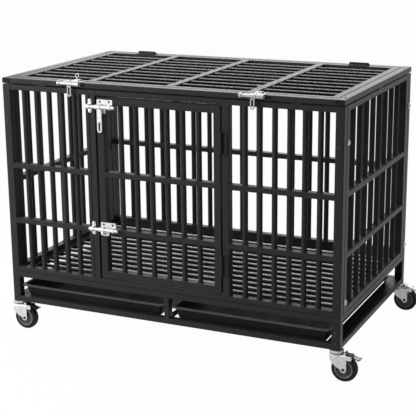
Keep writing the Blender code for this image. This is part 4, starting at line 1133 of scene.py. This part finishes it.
def pedalShapes():
    # A shallow channel carried down the tread's slope, then up over the lip, with three ribs near the tip
    way = np.array([0.0, 0.15, 0.30, 0.45, 0.60, 0.75, 0.87, 1.0])
    head = pivot[2] + caster["rise"]
    x = np.append(pivot[0] + (caster["reach"] - caster["lip"]) * way, [tipX - 0.0035, tipX - 0.0012, tipX])
    z = np.append(head + (tipZ - head) * way, [tipZ + 0.0005, tipZ + 0.0016, tipZ + 0.0022])
    depth = np.clip((x - 0.030) / 0.010, 0, 1) * 0.0022 + 0.0008
    depth[-3:] = (0.0026, 0.0014, 0.0010)
    sheet, wall, corner = caster["pedalSheet"], caster["pedalWall"], caster["pedalCorner"]
    rings = []
    for px, pz, wide, foot in zip(x, z, pedalWidth(x), -depth - sheet):
        line = [(-wide, foot), (-wide, -corner), (corner - wide, 0), (wide - corner, 0), (wide, -corner),
                (wide, foot), (wide - wall, foot), (wide - wall, -sheet), (wall - wide, -sheet),
                (wall - wide, foot)]
        rings.append([(px, across, pz + up) for across, up in line])
    pin = [(0.0024, -0.0084), (0.0028, -0.0080), (0.0028, 0.0080), (0.0024, 0.0084)]
    shoe = block(*caster["shoe"], 0.0006, 0.0004)
    return [skin(np.array(rings)[:, ::-1]), turned(pin, pivot, (0, 1, 0), 28),
            *treadRibs((0.62, 0.70, 0.78), x, z, 0.0007, 0.0072), shoe]


def pedalTip():
    # A bright sheet folded over the pedal's end: down the slope, then round the lip, with two pressed ribs
    way = np.linspace(0.58, 0.85, 6)
    share = way * caster["reach"] / (caster["reach"] - caster["lip"])
    slope = pivot[2] + caster["rise"] - (caster["fall"] + caster["rise"]) * share
    x = np.append(pivot[0] + caster["reach"] * way, [tipX - 0.0045, tipX - 0.0030, tipX - 0.0010, tipX])
    z = np.append(slope, [tipZ + 0.0004, tipZ + 0.0009, tipZ + 0.0019, tipZ + 0.0024]) + inset
    rings = [[(px, -wide, pz - 0.0016), (px, -wide, pz), (px, wide, pz), (px, wide, pz - 0.0016)]
             for px, pz, wide in zip(x, z, pedalWidth(x) + 0.0002)]
    return [skin(np.array(rings)[:, ::-1]), *treadRibs((0.66, 0.74), x, z, 0.0008, 0.0070)]


def aboutAxle(side, sides):
    # Radii and depths below the wheel's face, and the same mirrored, turned about the axle as one loop
    half = caster["width"] / 2
    profile = [(radius, half - depth) for radius, depth in side]
    profile += [(radius, depth - half) for radius, depth in reversed(side)]
    return turned(profile, axle, (0, 1, 0), sides, looped=True)


def hubShapes():
    half = caster["width"] / 2
    shapes = [aboutAxle([(0.0043, 0.0002), (0.0050, 0.0), (0.0074, 0.0), (0.0080, 0.0008), (0.0082, 0.0036),
                         (0.0165, 0.0040), (0.0172, 0.0032), (0.0190, 0.0030), (0.0197, 0.0040),
                         (0.0216, 0.0038), (0.0224, 0.0016), (0.0232, 0.0005), (0.0250, 0.0004),
                         (0.0257, 0.0010)], 60)]
    for number in range(6):
        turn = Matrix.Translation(axle) @ Matrix.Rotation(number * math.pi / 3, 4, "Y")
        for side in (-1, 1):
            low, high = sorted((side * (half - 0.0050), side * (half - 0.0029)))
            shapes.append(laid(tube((0.0078, low, -0.0009), (0.0168, high, 0.0009), 0, 0.0004, 0.0003), turn))
    return shapes


def makeCasters():
    half, flank, standing = caster["width"] / 2, caster["half"], ((0, 0, 0), (0, 0, 1), 48)
    disc = turned([(0.0140, 0.0897), (0.0201, 0.0897), (0.0207, 0.0892), (0.0209, 0.0884), (0.0209, 0.0862),
                   (0.0205, 0.0856), (0.0140, 0.0855)], *standing)
    # A dark ring over the race's groove, standing a hair proud of it: painted shade where the gap between the
    # rings lies in shadow
    raceGapShade = turned([(0.0185, 0.0814), (0.0201, 0.0816), (0.0201, 0.0838), (0.0185, 0.0840)], *standing)
    tyre = aboutAxle([(0.0261, 0.0012), (0.0266, 0.0003), (0.0285, 0.0), (0.0292, 0.0004), (0.0299, 0.0),
                      (0.0332, 0.0001), (0.0352, 0.0010), (0.0366, 0.0026), (0.0373, 0.0048),
                      (0.0375, 0.0066), (0.0370, 0.0070), (0.0370, 0.0078), (0.0375, 0.0082),
                      (0.0375, 0.0104)], 72)
    lip = [(0.0226, half - 0.0012), (0.0229, half - 0.0002), (0.0236, half + 0.0003), (0.0252, half + 0.0003),
           (0.0260, half - 0.0002), (0.0262, half - 0.0012)]
    nut = [(0.0040, flank + 0.0004), (0.0041, flank + 0.0008), (0.0041, flank + 0.0016),
           (0.0036, flank + 0.0020), (0.0021, flank + 0.0020), (0.0018, flank + 0.0010)]
    lobes = {0: hexagon, 1: hexagon, 2: hexagon}
    # The rims' lips carry a lighter tone of the hub's plastic, a painted highlight
    rims = [turned(lip, axle, (0, side, 0), 60, looped=True) for side in (-1, 1)]
    nuts = [turned(nut, axle, (0, side, 0), 36, lobes=lobes) for side in (-1, 1)]
    fork, pedal, hub = forkShapes(), pedalShapes(), hubShapes()
    for depth, tread in (("front", "pedal_black"), ("rear", "caster_zinc")):
        for side in ("left", "right"):
            node = depth + "_" + side
            name = camel(node)
            low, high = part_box(node + "_caster_plate")
            lay = Matrix.Translation(((low.x + high.x) / 2, (low.y + high.y) / 2, 0))
            swivel, wheel, brake = node + "_swivel", node + "_wheel", node + "_brake"
            for label, shapes, finish, body, replaced in (
                    ("CasterPlate", [disc], "caster_zinc", "cage", "_caster_plate"),
                    ("Fork", fork, "caster_zinc", swivel, "_fork"),
                    ("AxleNuts", nuts, "dark_screw", swivel, None),
                    ("RaceSeal", [raceGapShade], "pedal_black", swivel, None),
                    ("Tyre", [tyre], "tyre_rubber", wheel, "_tyre"),
                    ("Hub", hub, "hub_plastic", wheel, "_hub"),
                    ("HubRim", rims, "hub_rim", wheel, None),
                    ("Pedal", pedal, tread, brake, "_brake_pedal")):
                nodes = [node + replaced] if replaced else ()
                makePiece(name + label, shapes, finish, body, nodes, lay, 40 if label == "Fork" else 35)
            if node == "front_right":
                makePiece(name + "PedalTip", pedalTip(), "caster_zinc", brake, lay=lay)


makeFrameFixings()
makeHinges()
makeDoorBolts()
makeLidBolt("left_lid_bolt")
makeLidBolt("right_lid_bolt")
print("hinges, bolts and screws made")
makeCasters()
print("casters made")
